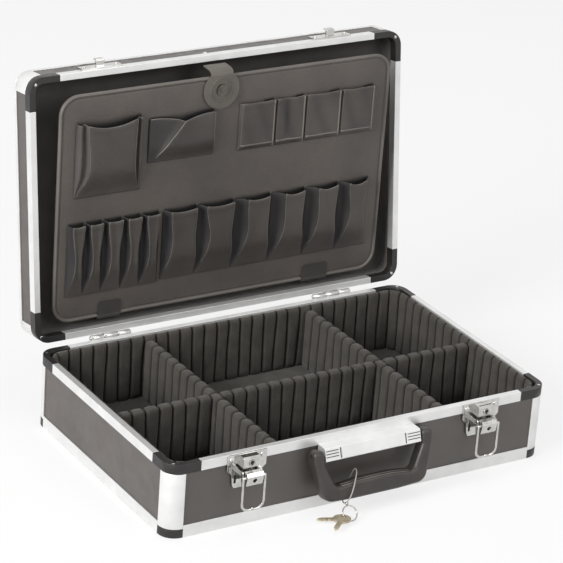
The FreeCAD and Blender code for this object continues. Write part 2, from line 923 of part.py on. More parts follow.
dip = math.radians(RING_DIP)
key_ring = doc.addObject("Part::Torus", "key_ring_wire")
bind(key_ring, "Radius1", s.key_ring_radius)
bind(key_ring, "Radius2", s.key_ring_wire)
key_ring.Placement = FreeCAD.Placement(
    FreeCAD.Vector(0, 0, 0),
    FreeCAD.Rotation(FreeCAD.Vector(0, 0, 1), FreeCAD.Vector(0, -math.sin(dip), math.cos(dip))),
)
for axis, size in zip("xyz", (ring_x, ring_y, ring_z)):
    bind(key_ring, f"Placement.Base.{axis}", size)

KNOT = as_size(1.7)
knot_away = s.key_ring_radius + s.key_ring_wire + KNOT
knot_y = ring_y + knot_away * math.cos(dip)
knot_z = ring_z + knot_away * math.sin(dip)
group("key_ring", [key_ring, ball("key_tie_knot", ring_x, knot_y, knot_z, KNOT)])

# Route of the wire tie from the knot round the grip and back. It passes the front of the grip first,
# clear of the grip as it turns: X, then how far up that face. The rest is X, Y and Z from its middle.
TIE_ON_GRIP = [(-31.5, -4.6), (-27.5, 4.0)]
TIE_AROUND = [
    (-23.5, -5.2, 13.0),
    (-20.0, -1.2, 18.6),
    (-17.6, 5.0, 18.4),
    (-16.4, 10.0, 13.6),
    (-17.0, 12.6, 7.0),
    (-19.8, 12.8, 0.0),
    (-24.4, 10.8, -7.5),
    (-29.4, 5.1, -12.3),
    (-32.7, -1.3, -13.1),
]


def tie_points():
    """The whole route of the tie; both ends meet the knot."""
    tilt = math.radians(s.handle_tilt.value)
    off_face = s.grip_depth.value / 2 + s.tie_wire.value + s.tie_clearance.value
    middle = FreeCAD.Vector(0, grip_y.value, grip_z.value)
    away = FreeCAD.Vector(0, -math.cos(tilt), math.sin(tilt))
    upward = FreeCAD.Vector(0, math.sin(tilt), math.cos(tilt))
    points = [middle + X_WAY * x + away * off_face + upward * height for x, height in TIE_ON_GRIP]
    points += [middle + FreeCAD.Vector(x, y, z) for x, y, z in TIE_AROUND]
    knot = FreeCAD.Vector(ring_x.value, knot_y.value, knot_z.value)
    first = (points[0] - knot).normalize() * KNOT.value
    last = (points[-1] - knot).normalize() * KNOT.value
    return [knot + first] + points + [knot + last]


def bent_path(points):
    """Straight runs joined by tangent arcs, as one wire, with its least bend radius."""
    edges = []
    least = None
    start = points[0]
    for before, corner, after in zip(points, points[1:], points[2:]):
        back = before - corner
        ahead = after - corner
        turn_angle = math.pi - back.getAngle(ahead)
        reach = 0.45 * min(back.Length, ahead.Length)
        radius = reach / math.tan(turn_angle / 2)
        least = radius if least is None else min(least, radius)
        first = corner + back * (reach / back.Length)
        last = corner + ahead * (reach / ahead.Length)
        inward = back * (1 / back.Length) + ahead * (1 / ahead.Length)
        depth = radius / math.cos(turn_angle / 2) - radius
        middle = corner + inward * (depth / inward.Length)
        edges.append(Part.LineSegment(start, first).toShape())
        edges.append(Part.Arc(first, middle, last).toShape())
        start = last
    edges.append(Part.LineSegment(start, points[-1]).toShape())
    return Part.Wire(edges), least


path, least_bend = bent_path(tie_points())
tie_start = tie_points()[0]
tie_way = tie_points()[1] - tie_start
section = Part.Wire([Part.makeCircle(s.tie_wire.value, tie_start, tie_way)])
key_tie = keep("key_tie", doc.addObject("Part::Feature", "key_tie"))
key_tie.Shape = path.makePipeShell([section], True, True)
tube_volume = math.pi * s.tie_wire.value**2 * path.Length
print(f"tie length {path.Length:.1f}, least bend radius {least_bend:.1f}")
print(f"tie volume {key_tie.Shape.Volume:.2f}, section by length {tube_volume:.2f}")


# Hinges, drawn on the left and mirrored

hinge_x = -s.hinge_spread
hinge_half = s.hinge_width / 2
knuckle = s.knuckle_radius
bore = s.hinge_pin_radius
inner_half = s.hinge_width * 0.175
base_inner = inner_half + 0.3
clear = knuckle + 0.4

base_leaf = new_body("hinge_base_leaf")
pad(
    base_leaf,
    "XZ",
    -leaf_back,
    gauge,
    [
        [
            (hinge_x - hinge_half, hinge_z - 24),
            (hinge_x + hinge_half, hinge_z - 24),
            (hinge_x + hinge_half, hinge_z),
            (hinge_x + base_inner, hinge_z),
            (hinge_x + base_inner, hinge_z - clear),
            (hinge_x - base_inner, hinge_z - clear),
            (hinge_x - base_inner, hinge_z),
            (hinge_x - hinge_half, hinge_z),
        ]
    ],
)
for knuckle_x in (hinge_x - hinge_half, hinge_x + base_inner):
    rings = [(hinge_y, hinge_z, knuckle), (hinge_y, hinge_z, bore)]
    pad(base_leaf, "YZ", knuckle_x, hinge_half - base_inner, circles=rings)
both_sides("hinge_base_leaves", [base_leaf])

lid_leaf = new_body("hinge_lid_leaf")
pad(
    lid_leaf,
    "XZ",
    -leaf_back,
    gauge,
    [
        [
            (hinge_x - hinge_half, hinge_z + clear),
            (hinge_x - inner_half, hinge_z + clear),
            (hinge_x - inner_half, hinge_z),
            (hinge_x + inner_half, hinge_z),
            (hinge_x + inner_half, hinge_z + clear),
            (hinge_x + hinge_half, hinge_z + clear),
            (hinge_x + hinge_half, hinge_z + 22),
            (hinge_x - hinge_half, hinge_z + 22),
        ]
    ],
)
rings = [(hinge_y, hinge_z, knuckle), (hinge_y, hinge_z, bore + s.hinge_play)]
pad(lid_leaf, "YZ", hinge_x - inner_half, 2 * inner_half, circles=rings)
open_lid(both_sides("hinge_lid_leaves", [lid_leaf]))
pin_length = s.hinge_width + 2
hinge_pin = rod("hinge_pin", bore, pin_length, hinge_x - pin_length / 2, hinge_y, hinge_z, X_WAY)
both_sides("hinge_pins", [hinge_pin])


# Lid shell, drawn closed and swung open


def lid_rim_outline(face):
    """Section of the channel along the rim of the lid, open to the top."""
    return [
        (face, lid_rim),
        (face + rim, lid_rim),
        (face + rim, lid_rim + s.rim_drop),
        (face + rim - gauge, lid_rim + s.rim_drop),
        (face + rim - gauge, lid_rim + gauge),
        (face + gauge, lid_rim + gauge),
        (face + gauge, lid_rim + s.rim_drop),
        (face, lid_rim + s.rim_drop),
    ]


def lid_edge_outline(face):
    """Section of the angle along the top edge of the lid."""
    return [
        (face, lid_top - s.lid_edge),
        (face + gauge, lid_top - s.lid_edge),
        (face + gauge, lid_top - gauge),
        (face + s.edge_strip, lid_top - gauge),
        (face + s.edge_strip, lid_top),
        (face, lid_top),
    ]


lid_rims = wall_profiles("lid_rim_profile", lid_rim_outline, s.rim_leg)
lid_edges = wall_profiles("lid_edge_profile", lid_edge_outline, s.post_face)
lid_strips = []
for front, left in (lid_rims, lid_edges):
    lid_strips += [front, mirrored(front, Y_WAY), left, mirrored(left, X_WAY)]
open_lid(group("lid_profiles", lid_strips))

panel_low = lid_top - gauge - board
board_low = lid_rim + gauge
front_board = block("lid_board_front", -wall_x, wall_x, gauge - half_d, floor_z - half_d, board_low, panel_low)
left_board = block("lid_board_left", gauge - half_w, floor_z - half_w, -wall_y, wall_y, board_low, panel_low)
open_lid(four_sides("lid_boards", front_board, left_board))

lid_panel = keep("lid_panel", new_body("lid_panel"))
pad(
    lid_panel,
    "XY",
    panel_low,
    board,
    [rect(gauge - half_w, gauge - half_d, half_w - gauge, half_d - gauge)],
)
round_edges(lid_panel, s.corner_round - gauge, lambda e: e.BoundBox.ZLength > board.value / 2)
open_lid(lid_panel)

lid_lining = keep("lid_lining", new_body("lid_lining"))
pad(
    lid_lining,
    "XY",
    panel_low - s.lining_gauge,
    s.lining_gauge,
    [rect(floor_z - half_w, floor_z - half_d, half_w - floor_z, half_d - floor_z)],
)
round_edges(lid_lining, s.corner_round - floor_z, lambda e: e.BoundBox.ZLength > s.lining_gauge.value / 2)
open_lid(lid_lining)

corner_low = lid_rim + s.corner_drop
cap_low = lid_top - s.top_cap
lid_post = corner_angle("lid_post", as_size(0), s.post_face, gauge, s.corner_round, corner_low, cap_low)
open_lid(four_corners("lid_posts", lid_post))
lid_corner = rim_corner("lid_rim_corner", lid_rim, corner_low, board_low, corner_low)
open_lid(four_corners("lid_rim_corners", lid_corner))
lid_cap = cap_corner("lid_top_cap", cap_low, lid_top, lid_top - gauge)
open_lid(four_corners("lid_top_caps", lid_cap))

keeper = new_body("keeper")
pad(
    keeper,
    "XZ",
    half_d,
    s.latch_gauge,
    [rect(latch_x - plate_half - 1, lid_rim + 4, latch_x + plate_half + 1, lid_rim + 16)],
)
hook = [(1, 7.8), (7, 7.8), (8.4, 9.2), (8.4, 14.8), (7, 14.8), (6.7, 11.3), (1, 11.3)]
pad(keeper, "YZ", latch_x - bar_half, 2 * bar_half, [[(out(a), lid_rim + b) for a, b in hook]])
open_lid(both_sides("keepers", [keeper]))

lid_heads = [rivet(latch_x + step, out(s.latch_gauge), lid_rim + 10, -Y_WAY) for step in (-17.5, 17.5)]
lid_heads += [rivet(hinge_x + step, leaf_back, hinge_z + 14, Y_WAY) for step in (-14, 0, 14)]
strap_head = rivet(-s.strap_shift, gauge - half_d, lid_rim + 14, -Y_WAY)
lid_heads += [mirrored(head, X_WAY) for head in lid_heads]
open_lid(group("lid_rivets", lid_heads + [strap_head]))


# Tool pallet, drawn where it hangs in the open lid

pallet_y = hinge_y + s.pallet_ahead
pallet_z = hinge_z + s.pallet_lift
pallet_w = s.case_width - s.pallet_inset
pallet_h = s.case_depth - s.pallet_short
pallet_top = pallet_z + pallet_h
pallet_half = pallet_w / 2
# Pocket places are given in millimetres on a pallet of this width and height.
share_x = pallet_w / 378
share_z = pallet_h / 239

pallet_board = keep("pallet_board", new_body("pallet_board"))
pad(
    pallet_board,
    "XZ",
    -(pallet_y + s.pallet_gauge),
    s.pallet_gauge,
    [rect(-pallet_half, pallet_z, pallet_half, pallet_top)],
)
round_edges(
    pallet_board,
    s.pallet_round,
    lambda e: both_at(e, pallet_half, pallet_z) or both_at(e, pallet_half, pallet_top),
)

# Name: lower and upper edge above the pallet's lower edge, then left and right edges
POCKETS = {
    "pocket_large": (132, 210, [(-171, -99)]),
    "pocket_flap": (158, 205, [(-91, -17)]),
    "pockets_small": (157, 207, [(11, 51), (53, 86), (88, 128.5), (130.5, 170)]),
    "pockets_narrow": (28, 105, [(-174, -160), (-155, -141), (-134, -119), (-112, -98), (-91, -77)]),
    "pockets_wide": (
        30,
        105,
        [(-66, -35), (-27, 8), (15, 50), (60, 92), (100, 132), (140, 171)],
    ),
}


def pocket(name, left, right, low, high):
    """A pocket open at the top: a front, two sides and a bottom."""
    body = new_body(name)
    x0 = left * share_x
    x1 = right * share_x
    z0 = pallet_z + low * share_z
    z1 = pallet_z + high * share_z
    front = pallet_y - s.pocket_deep
    wall = s.pocket_wall
    sides = [
        (x0, pallet_y),
        (x0, front),
        (x1, front),
        (x1, pallet_y),
        (x1 - wall, pallet_y),
        (x1 - wall, front + wall),
        (x0 + wall, front + wall),
        (x0 + wall, pallet_y),
    ]
    pad(body, "XY", z0, z1 - z0, [sides])
    pad(body, "XY", z0, wall, [rect(x0, front, x1, pallet_y)])
    return body


for name, (low, high, spans) in POCKETS.items():
    pockets = [pocket(f"{name}_one", left, right, low, high) for left, right in spans]
    if len(pockets) == 1:
        keep(name, pockets[0])
    else:
        group(name, pockets)

stud_x = -s.strap_shift
stud_z = pallet_top - 14
strap_back = pallet_y - s.strap_gauge
strap_face = strap_back - s.strap_gauge
keep("pallet_stud", rod("pallet_stud", as_size(5), s.strap_gauge, stud_x, pallet_y, stud_z, -Y_WAY))
strap = keep("strap", new_body("strap"))
strap_section = [
    (pallet_y + 17, pallet_top + 7.2),
    (pallet_y + 1, pallet_top + 5.5),
    (strap_face, pallet_top + 2),
    (strap_face, stud_z),
    (strap_back, stud_z),
    (strap_back, pallet_top + 1.4),
    (pallet_y + 1.4, pallet_top + 4.2),
    (pallet_y + 17, pallet_top + 5.9),
]
pad(strap, "YZ", stud_x - s.strap_width / 2, s.strap_width, [strap_section])
pad(strap, "XZ", -strap_back, s.strap_gauge, circles=[(stud_x, stud_z, s.strap_tab)])
keep("strap_stud", rod("strap_stud", as_size(6), as_size(1.7), stud_x, strap_face, stud_z, -Y_WAY))

lining_depth = panel_low - s.lining_gauge - hinge_z


def on_lining(z):
    """The point of the open lid's lining at that height, in a section across the case."""
    y = hinge_y + (lining_depth - (z - hinge_z) * cosine(s.lid_opening)) / sine(s.lid_opening)
    return y, z


tab_section = [
    (pallet_y - 1, pallet_z + 17),
    (pallet_y - 1, pallet_z - 3.2),
    on_lining(pallet_z - 3.2),
    on_lining(pallet_z - 2),
    (pallet_y, pallet_z - 2),
    (pallet_y, pallet_z + 17),
]
tabs = []
for left, right in ((-139, -113), (99, 130)):
    tab = new_body("pallet_tab")
    pad(tab, "YZ", left * share_x, (right - left) * share_x, [tab_section])
    tabs.append(tab)
group("pallet_tabs", tabs)


# Check and write

doc.recompute()
faults = []
for thing in doc.Objects:
    if "Invalid" in thing.State or "Error" in thing.State:
        faults.append(f"{thing.Name} {thing.State}")
for name, thing in nodes.items():
    if thing.Shape.isNull() or not thing.Shape.isValid() or not thing.Shape.Solids:
        faults.append(f"{name} has no valid shape")
if faults:
    raise RuntimeError("; ".join(faults))
os.makedirs("parts", exist_ok=True)
for name, thing in nodes.items():
    thing.Shape.exportStep(f"parts/{name}.step")
    box = thing.Shape.BoundBox
    print(
        f"{name:22s} solids {len(thing.Shape.Solids):2d}"
        f"  x {box.XMin:7.1f} {box.XMax:7.1f}  y {box.YMin:7.1f} {box.YMax:7.1f}"
        f"  z {box.ZMin:7.1f} {box.ZMax:7.1f}  volume {thing.Shape.Volume:9.0f}"
    )
print(len(nodes), "nodes")
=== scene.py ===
"""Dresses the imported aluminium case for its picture: materials, foam, tool pallet and small details."""

import math
import random

import bpy
from mathutils import Matrix, Vector


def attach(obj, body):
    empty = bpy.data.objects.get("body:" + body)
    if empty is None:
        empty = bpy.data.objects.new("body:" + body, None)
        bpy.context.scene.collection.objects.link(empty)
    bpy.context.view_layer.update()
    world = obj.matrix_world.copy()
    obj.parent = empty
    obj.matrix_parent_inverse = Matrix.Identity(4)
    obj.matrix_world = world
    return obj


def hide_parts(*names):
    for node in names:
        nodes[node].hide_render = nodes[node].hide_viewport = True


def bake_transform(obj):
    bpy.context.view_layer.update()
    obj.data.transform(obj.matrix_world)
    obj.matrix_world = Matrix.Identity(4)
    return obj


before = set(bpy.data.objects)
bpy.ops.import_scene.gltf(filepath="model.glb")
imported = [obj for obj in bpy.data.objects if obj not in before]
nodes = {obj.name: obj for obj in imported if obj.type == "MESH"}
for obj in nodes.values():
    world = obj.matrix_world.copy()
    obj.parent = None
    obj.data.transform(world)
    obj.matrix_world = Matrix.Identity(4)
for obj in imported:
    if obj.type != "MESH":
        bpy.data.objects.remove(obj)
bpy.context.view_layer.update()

# Lengths below are in millimetres and become metres when a piece is made.
MM = 0.001
random.seed(7)
# Random waves start anywhere in this range of radians.
ANY_PHASE = 6.28


# Materials


def linear(colour):
    """A colour given as sRGB from 0 to 255, as linear light."""
    shares = [part / 255 for part in colour]
    return [part / 12.92 if part <= 0.04045 else ((part + 0.055) / 1.055) ** 2.4 for part in shares]


class Look:
    """A material built from nodes round one principled shader."""

    def __init__(self, name, colour, roughness=0.5, metallic=0.0, **sockets):
        self.material = bpy.data.materials.new(name)
        self.material.use_nodes = True
        self.tree = self.material.node_tree
        self.shader = self.tree.nodes["Principled BSDF"]
        self.shader.inputs["Base Color"].default_value = (*linear(colour), 1)
        self.shader.inputs["Roughness"].default_value = roughness
        self.shader.inputs["Metallic"].default_value = metallic
        for socket, value in sockets.items():
            self.shader.inputs[socket.replace("_", " ")].default_value = value
        self.place = self.node("ShaderNodeTexCoord").outputs["Object"]
        self.last_bump = None

    def node(self, kind, **values):
        made = self.tree.nodes.new(kind)
        for key, value in values.items():
            setattr(made, key, value)
        return made

    def join(self, source, target):
        self.tree.links.new(source, target)

    def noise(self, scale, detail, stretch=(1, 1, 1)):
        mapping = self.node("ShaderNodeMapping")
        mapping.inputs["Scale"].default_value = stretch
        self.join(self.place, mapping.inputs["Vector"])
        texture = self.node("ShaderNodeTexNoise")
        texture.inputs["Scale"].default_value = scale
        texture.inputs["Detail"].default_value = detail
        self.join(mapping.outputs["Vector"], texture.inputs["Vector"])
        return texture.outputs["Fac"]

    def cells(self, scale, feature="F1"):
        texture = self.node("ShaderNodeTexVoronoi", feature=feature)
        texture.inputs["Scale"].default_value = scale
        self.join(self.place, texture.inputs["Vector"])
        return texture.outputs["Distance"]

    def threads(self, scale, direction):
        texture = self.node("ShaderNodeTexWave", bands_direction=direction)
        texture.inputs["Scale"].default_value = scale
        texture.inputs["Distortion"].default_value = 0.6
        self.join(self.place, texture.inputs["Vector"])
        return texture.outputs["Fac"]

    def maths(self, operation, first, second):
        made = self.node("ShaderNodeMath", operation=operation)
        for socket, value in zip(made.inputs, (first, second)):
            if isinstance(value, (int, float)):
                socket.default_value = value
            else:
                self.join(value, socket)
        return made.outputs[0]

    def over(self, fine, share, coarse):
        """A fine texture at that share of its strength, added to a coarse one."""
        return self.maths("ADD", self.maths("MULTIPLY", fine, share), coarse)

    def tint(self, factor, first, second, start=0.3, stop=0.7):
        ramp = self.node("ShaderNodeValToRGB")
        ramp.color_ramp.elements[0].position = start
        ramp.color_ramp.elements[1].position = stop
        ramp.color_ramp.elements[0].color = (*linear(first), 1)
        ramp.color_ramp.elements[1].color = (*linear(second), 1)
        self.join(factor, ramp.inputs["Fac"])
        self.join(ramp.outputs["Color"], self.shader.inputs["Base Color"])
        return ramp.outputs["Color"]

    def paint_groove_shade(self, colour, dark):
        """Painted shade: fade that colour to a dark one where the mesh is marked as a groove."""
        mix = self.node("ShaderNodeMix", data_type="RGBA")
        mix.inputs["B"].default_value = (*linear(dark), 1)
        mark = self.node("ShaderNodeAttribute", attribute_name="groove")
        self.join(mark.outputs["Fac"], mix.inputs["Factor"])
        self.join(colour, mix.inputs["A"])
        self.join(mix.outputs["Result"], self.shader.inputs["Base Color"])

    def gloss(self, factor, low, high):
        """Roughness from low to high over the middle of the factor's range."""
        made = self.node("ShaderNodeMapRange")
        for socket, value in (("From Min", 0.3), ("From Max", 0.7), ("To Min", low), ("To Max", high)):
            made.inputs[socket].default_value = value
        self.join(factor, made.inputs["Value"])
        self.join(made.outputs["Result"], self.shader.inputs["Roughness"])

    def bump(self, height, depth):
        """Relief of that depth in millimetres."""
        made = self.node("ShaderNodeBump")
        made.inputs["Distance"].default_value = depth * MM
        self.join(height, made.inputs["Height"])
        if self.last_bump is not None:
            self.join(self.last_bump, made.inputs["Normal"])
        self.last_bump = made.outputs["Normal"]
        self.join(self.last_bump, self.shader.inputs["Normal"])


def panel_look():
    look = Look("panel", (76, 70, 67), Specular_IOR_Level=0.75)
    pebble = look.cells(1300, "SMOOTH_F1")
    cloud = look.noise(14, 4)
    look.tint(look.over(pebble, 0.25, cloud), (72, 67, 64), (80, 74, 71), 0.4, 0.8)
    look.gloss(look.noise(60, 3), 0.34, 0.5)
    look.bump(pebble, 0.12)
    look.bump(look.noise(3500, 2), 0.03)
    return look.material


def aluminium_look(name, along):
    """Satin anodised aluminium with drawing marks along one axis."""
    look = Look(name, (226, 226, 225), metallic=0.6, Specular_IOR_Level=0.5)
    stretch = [1.0, 1.0, 1.0]
    stretch["XYZ".index(along)] = 0.012
    marks = look.noise(1500, 3, stretch)
    look.tint(look.noise(40, 4), (219, 219, 218), (233, 233, 232))
    look.gloss(marks, 0.30, 0.44)
    look.bump(marks, 0.02)
    look.bump(look.noise(5000, 2), 0.008)
    return look.material


def steel_look(name, colour, dull, smooth=0.12, rough=0.26, metallic=1.0):
    look = Look(name, colour, metallic=metallic)
    look.tint(look.noise(120, 4), dull, colour)
    look.gloss(look.noise(260, 5), smooth, rough)
    look.bump(look.noise(900, 4, (1, 1, 0.15)), 0.012)
    return look.material


def plastic_look(name, dark, light, low=0.36, high=0.5, grain=0.06):
    look = Look(name, light, Specular_IOR_Level=0.5)
    look.tint(look.noise(45, 4), dark, light)
    look.gloss(look.noise(300, 3), low, high)
    look.bump(look.cells(1900, "SMOOTH_F1"), grain)
    look.bump(look.noise(4200, 2), 0.02)
    return look.material


def foam_look():
    look = Look("foam", (76, 73, 69), roughness=0.95, Specular_IOR_Level=0.2, Sheen_Weight=0.15)
    pores = look.cells(1150)
    cloud = look.noise(70, 5)
    colour = look.tint(look.over(pores, 0.5, cloud), (62, 59, 56), (82, 78, 73), 0.45, 0.95)
    # Painted shade in the grooves between the ribs
    look.paint_groove_shade(colour, (14, 13, 13))
    look.gloss(pores, 0.88, 1.0)
    look.bump(pores, 0.35)
    look.bump(look.noise(420, 5), 0.5)
    return look.material


def lining_look():
    look = Look("lining", (82, 79, 77), roughness=0.9, Specular_IOR_Level=0.25, Sheen_Weight=0.2)
    weave = look.maths("MULTIPLY", look.threads(330, "X"), look.threads(330, "Z"))
    look.tint(look.over(weave, 0.3, look.noise(55, 5)), (77, 74, 72), (88, 84, 81))
    look.gloss(weave, 0.82, 0.95)
    look.bump(weave, 0.15)
    look.bump(look.noise(1500, 4), 0.1)
    return look.material


def leather_look(name, dark, light, low=0.46, high=0.62, shade=None):
    """Grained leatherette; with a shade colour it paints shade, darkening where the mesh says so."""
    look = Look(name, light, Specular_IOR_Level=0.45)
    grain = look.cells(800, "SMOOTH_F1")
    fine = look.noise(1800, 4)
    cloud = look.noise(18, 4)
    colour = look.tint(look.over(grain, 0.25, cloud), dark, light, 0.38, 0.82)
    if shade:
        look.paint_groove_shade(colour, shade)
    look.gloss(fine, low, high)
    look.bump(grain, 0.18)
    look.bump(fine, 0.05)
    look.bump(look.noise(90, 3), 0.35)
    return look.material


PANEL = panel_look()
ALUMINIUM_X = aluminium_look("aluminium_x", "X")
ALUMINIUM_Y = aluminium_look("aluminium_y", "Y")
ALUMINIUM_Z = aluminium_look("aluminium_z", "Z")
STEEL = steel_look("bright_steel", (206, 205, 202), (182, 181, 178), 0.1, 0.22)
LOCK = steel_look("lock_metal", (176, 172, 166), (148, 145, 140), 0.2, 0.36)
KEY = steel_look("key_metal", (206, 194, 168), (172, 160, 136), 0.36, 0.52, 0.5)
STUD = steel_look("stud_metal", (112, 108, 102), (84, 80, 76), 0.24, 0.4)
CORNER = plastic_look("corner_plastic", (27, 25, 25), (38, 35, 34))
HANDLE = plastic_look("handle_plastic", (44, 40, 38), (58, 53, 50), 0.34, 0.48, 0.1)
# Much lighter than the handle: painted highlight on the grip's ridges
RIDGE_HIGHLIGHT = plastic_look("handle_ridge_highlight", (104, 98, 92), (122, 115, 108), 0.34, 0.48, 0.1)
FOAM = foam_look()
LINING = lining_look()
LEATHER = leather_look("leatherette", (76, 71, 67), (92, 86, 81))
# Pocket fronts take painted shade in their crease and in the hollows of their waves, as their mesh says
POCKET = leather_look("leatherette_pocket", (64, 60, 58), (80, 75, 71), 0.4, 0.56, (26, 24, 24))
# A lighter copy of the leatherette for piping, fold ridges and the strap's ring: painted highlight
LEATHER_HIGHLIGHT = leather_look("leatherette_highlight", (88, 83, 79), (106, 101, 95), 0.38, 0.52)
# Leatherette behind the pocket mouths, darkened by its mesh: painted shadow inside the mouth
MOUTH = leather_look("leatherette_mouth_shade", (76, 71, 67), (92, 86, 81), shade=(22, 21, 21))
# A darker copy of the leatherette: painted shade
SHADE = leather_look("leatherette_shade", (48, 45, 44), (60, 56, 55))
# Darker leatherette for the gussets folded back between pockets: painted shade
LEATHER_PAINTED_SHADE = leather_look("leatherette_painted_shade", (34, 32, 33), (46, 43, 42), 0.6, 0.75)
# Raised bands in a lighter leatherette along fold edges: painted highlight
HIGHLIGHT_BAND = leather_look("painted_highlight_band", (102, 97, 91), (120, 115, 108), 0.4, 0.55)
STRAP = leather_look("strap_leatherette", (86, 82, 75), (102, 97, 90), 0.42, 0.58)
TAB = leather_look("tab_leatherette", (48, 45, 44), (62, 58, 56), 0.46, 0.62)
THREAD = plastic_look("thread", (84, 80, 76), (104, 99, 94), 0.6, 0.75, 0.02)
TIE = plastic_look("tie", (150, 146, 140), (176, 172, 166), 0.3, 0.4, 0.02)
# Dark plates and beads for keyholes, slots, nose holes and bracket grooves: painted shade
DARK = plastic_look("painted_hollow_shade", (18, 17, 17), (26, 25, 24), 0.7, 0.85, 0.02)

CAD_LOOKS = [
    (PANEL, "base_bottom base_front base_back base_left base_right lid_boards lid_panel"),
    (ALUMINIUM_X, "base_rim base_edge_strips handle_bracket name_plate lid_profiles"),
    (ALUMINIUM_Y, "lid_posts lid_top_caps"),
    (ALUMINIUM_Z, "base_posts"),
    (CORNER, "base_rim_corners base_foot_caps lid_rim_corners"),
    (STEEL, "latch_plates latch_pins lock_cases base_rivets handle_pins hinge_base_leaves hinge_pins"),
    (STEEL, "lever_left lever_right bail_left bail_right hinge_lid_leaves keepers lid_rivets pallet_stud"),
    (LOCK, "lock_left lock_right key_ring"),
    (KEY, "key_one key_two"),
    (HANDLE, "handle"),
    (STUD, "strap_stud"),
]
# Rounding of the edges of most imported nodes, and of those that differ
EDGE_ROUND = 0.3
EDGE_ROUNDS = {"key_one": 0.25, "key_two": 0.25}
EDGE_ROUNDS.update(dict.fromkeys(("handle", "bail_left", "bail_right", "key_ring"), 0.0))
WELD_DISTANCE = 0.005
SHARP_ANGLE = math.radians(35)


def dress(name, look, edge):
    """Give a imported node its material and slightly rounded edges."""
    thing = nodes[name]
    thing.data.materials.clear()
    thing.data.materials.append(look)
    if edge > 0:
        weld = thing.modifiers.new("weld", "WELD")
        weld.merge_threshold = WELD_DISTANCE * MM
        bevel = thing.modifiers.new("edges", "BEVEL")
        bevel.width = edge * MM
        bevel.segments = 2
        bevel.limit_method = "ANGLE"
        bevel.angle_limit = SHARP_ANGLE
        bevel.harden_normals = True


for look, names in CAD_LOOKS:
    for name in names.split():
        dress(name, look, EDGE_ROUNDS.get(name, EDGE_ROUND))


# Making pieces


def piece(name, points, faces, looks, body, face_looks=None, painted_shades=None):
    """A mesh piece from points in millimetres that moves with a body.

    Without a body its motion is set by the caller. The looks of its faces are numbers in the list of looks.
    Painted shades say for each point how far its colour is darkened, from 0 to 1.
    """
    mesh = bpy.data.meshes.new(name)
    mesh.from_pydata([Vector(point) * MM for point in points], [], faces)
    for look in looks:
        mesh.materials.append(look)
    if face_looks:
        mesh.polygons.foreach_set("material_index", face_looks)
    mesh.polygons.foreach_set("use_smooth", [True] * len(mesh.polygons))
    if painted_shades:
        mesh.attributes.new("groove", "FLOAT", "POINT").data.foreach_set("value", painted_shades)
    mesh.update()
    made = bpy.data.objects.new(name, mesh)
    bpy.context.scene.collection.objects.link(made)
    if body:
        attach(made, body)
    return made


def grid_faces(rows, columns, first=0, row_loop=False, column_loop=False):
    """Quads between points stored row after row."""
    faces = []
    for row in range(rows if row_loop else rows - 1):
        here = first + row * columns
        ahead = first + (row + 1) % rows * columns
        for column in range(columns if column_loop else columns - 1):
            after = (column + 1) % columns
            faces.append((here + column, here + after, ahead + after, ahead + column))
    return faces


def thicken(thing, gauge, offset=-1.0):
    solid = thing.modifiers.new("thickness", "SOLIDIFY")
    solid.thickness = gauge * MM
    solid.offset = offset


def soften(thing):
    soft = thing.modifiers.new("soft", "SUBSURF")
    soft.levels = soft.render_levels = 1


def smooth(share):
    share = min(max(share, 0.0), 1.0)
    return share * share * (3 - 2 * share)


class Gathered:
    """Many small shapes that become one piece."""

    def __init__(self):
        self.points = []
        self.faces = []

    def make(self, name, look, body, slot):
        piece(name, self.points, self.faces, [look], body)


class Tubes(Gathered):
    """Round beads along lines of points."""

    def add(self, line, radius, sides=6, closed=False):
        first = len(self.points)
        line = [Vector(point) for point in line]
        count = len(line)
        for i, point in enumerate(line):
            before = line[i - 1] if i or closed else point
            after = line[(i + 1) % count] if i < count - 1 or closed else point
            way = (after - before).normalized()
            side = way.cross(Vector((0, 0, 1)) if abs(way.z) < 0.9 else Vector((0, 1, 0))).normalized()
            up = side.cross(way)
            for k in range(sides):
                turn = 2 * math.pi * k / sides
                self.points.append(point + radius * (math.cos(turn) * side + math.sin(turn) * up))
        self.faces += grid_faces(count, sides, first, row_loop=closed, column_loop=True)
        if not closed:
            self.faces.append(tuple(range(first + sides - 1, first - 1, -1)))
            self.faces.append(tuple(range(len(self.points) - sides, len(self.points))))


# Ribbed foam

FOAM_LOW = 8.2
RIB_PITCH = 14
GROOVE_WIDTH = 1.0
# How wide the painted shade in a groove spreads
GROOVE_SHADE_WIDTH = 0.95
# Shares of a rib at which the foam has points, from its groove towards the next
RIB_STEPS = (0.0, 0.045, 0.09, 0.16, 0.3, 0.5, 0.7, 0.84, 0.91, 0.955)


def rib_depth(share, sink, pitch):
    """How far the foam falls back at that share of a rib, from the groove at 0 to the next at 1."""
    away = min(share, 1 - share) * pitch
    return sink * math.exp(-((away / GROOVE_WIDTH) ** 2)) + 0.5 * abs(2 * share - 1) ** 3


def groove_shade(share, pitch):
    """How much painted shade a groove gets at that share of a rib."""
    return math.exp(-((min(share, 1 - share) * pitch / GROOVE_SHADE_WIDTH) ** 2))


def sway(height, wave, first, second, share):
    """How far a rib leans to the side at that height, between the phases of its two grooves."""
    here = math.sin(height / wave + first)
    there = math.sin(height / wave + second)
    return here * (1 - share) + there * share


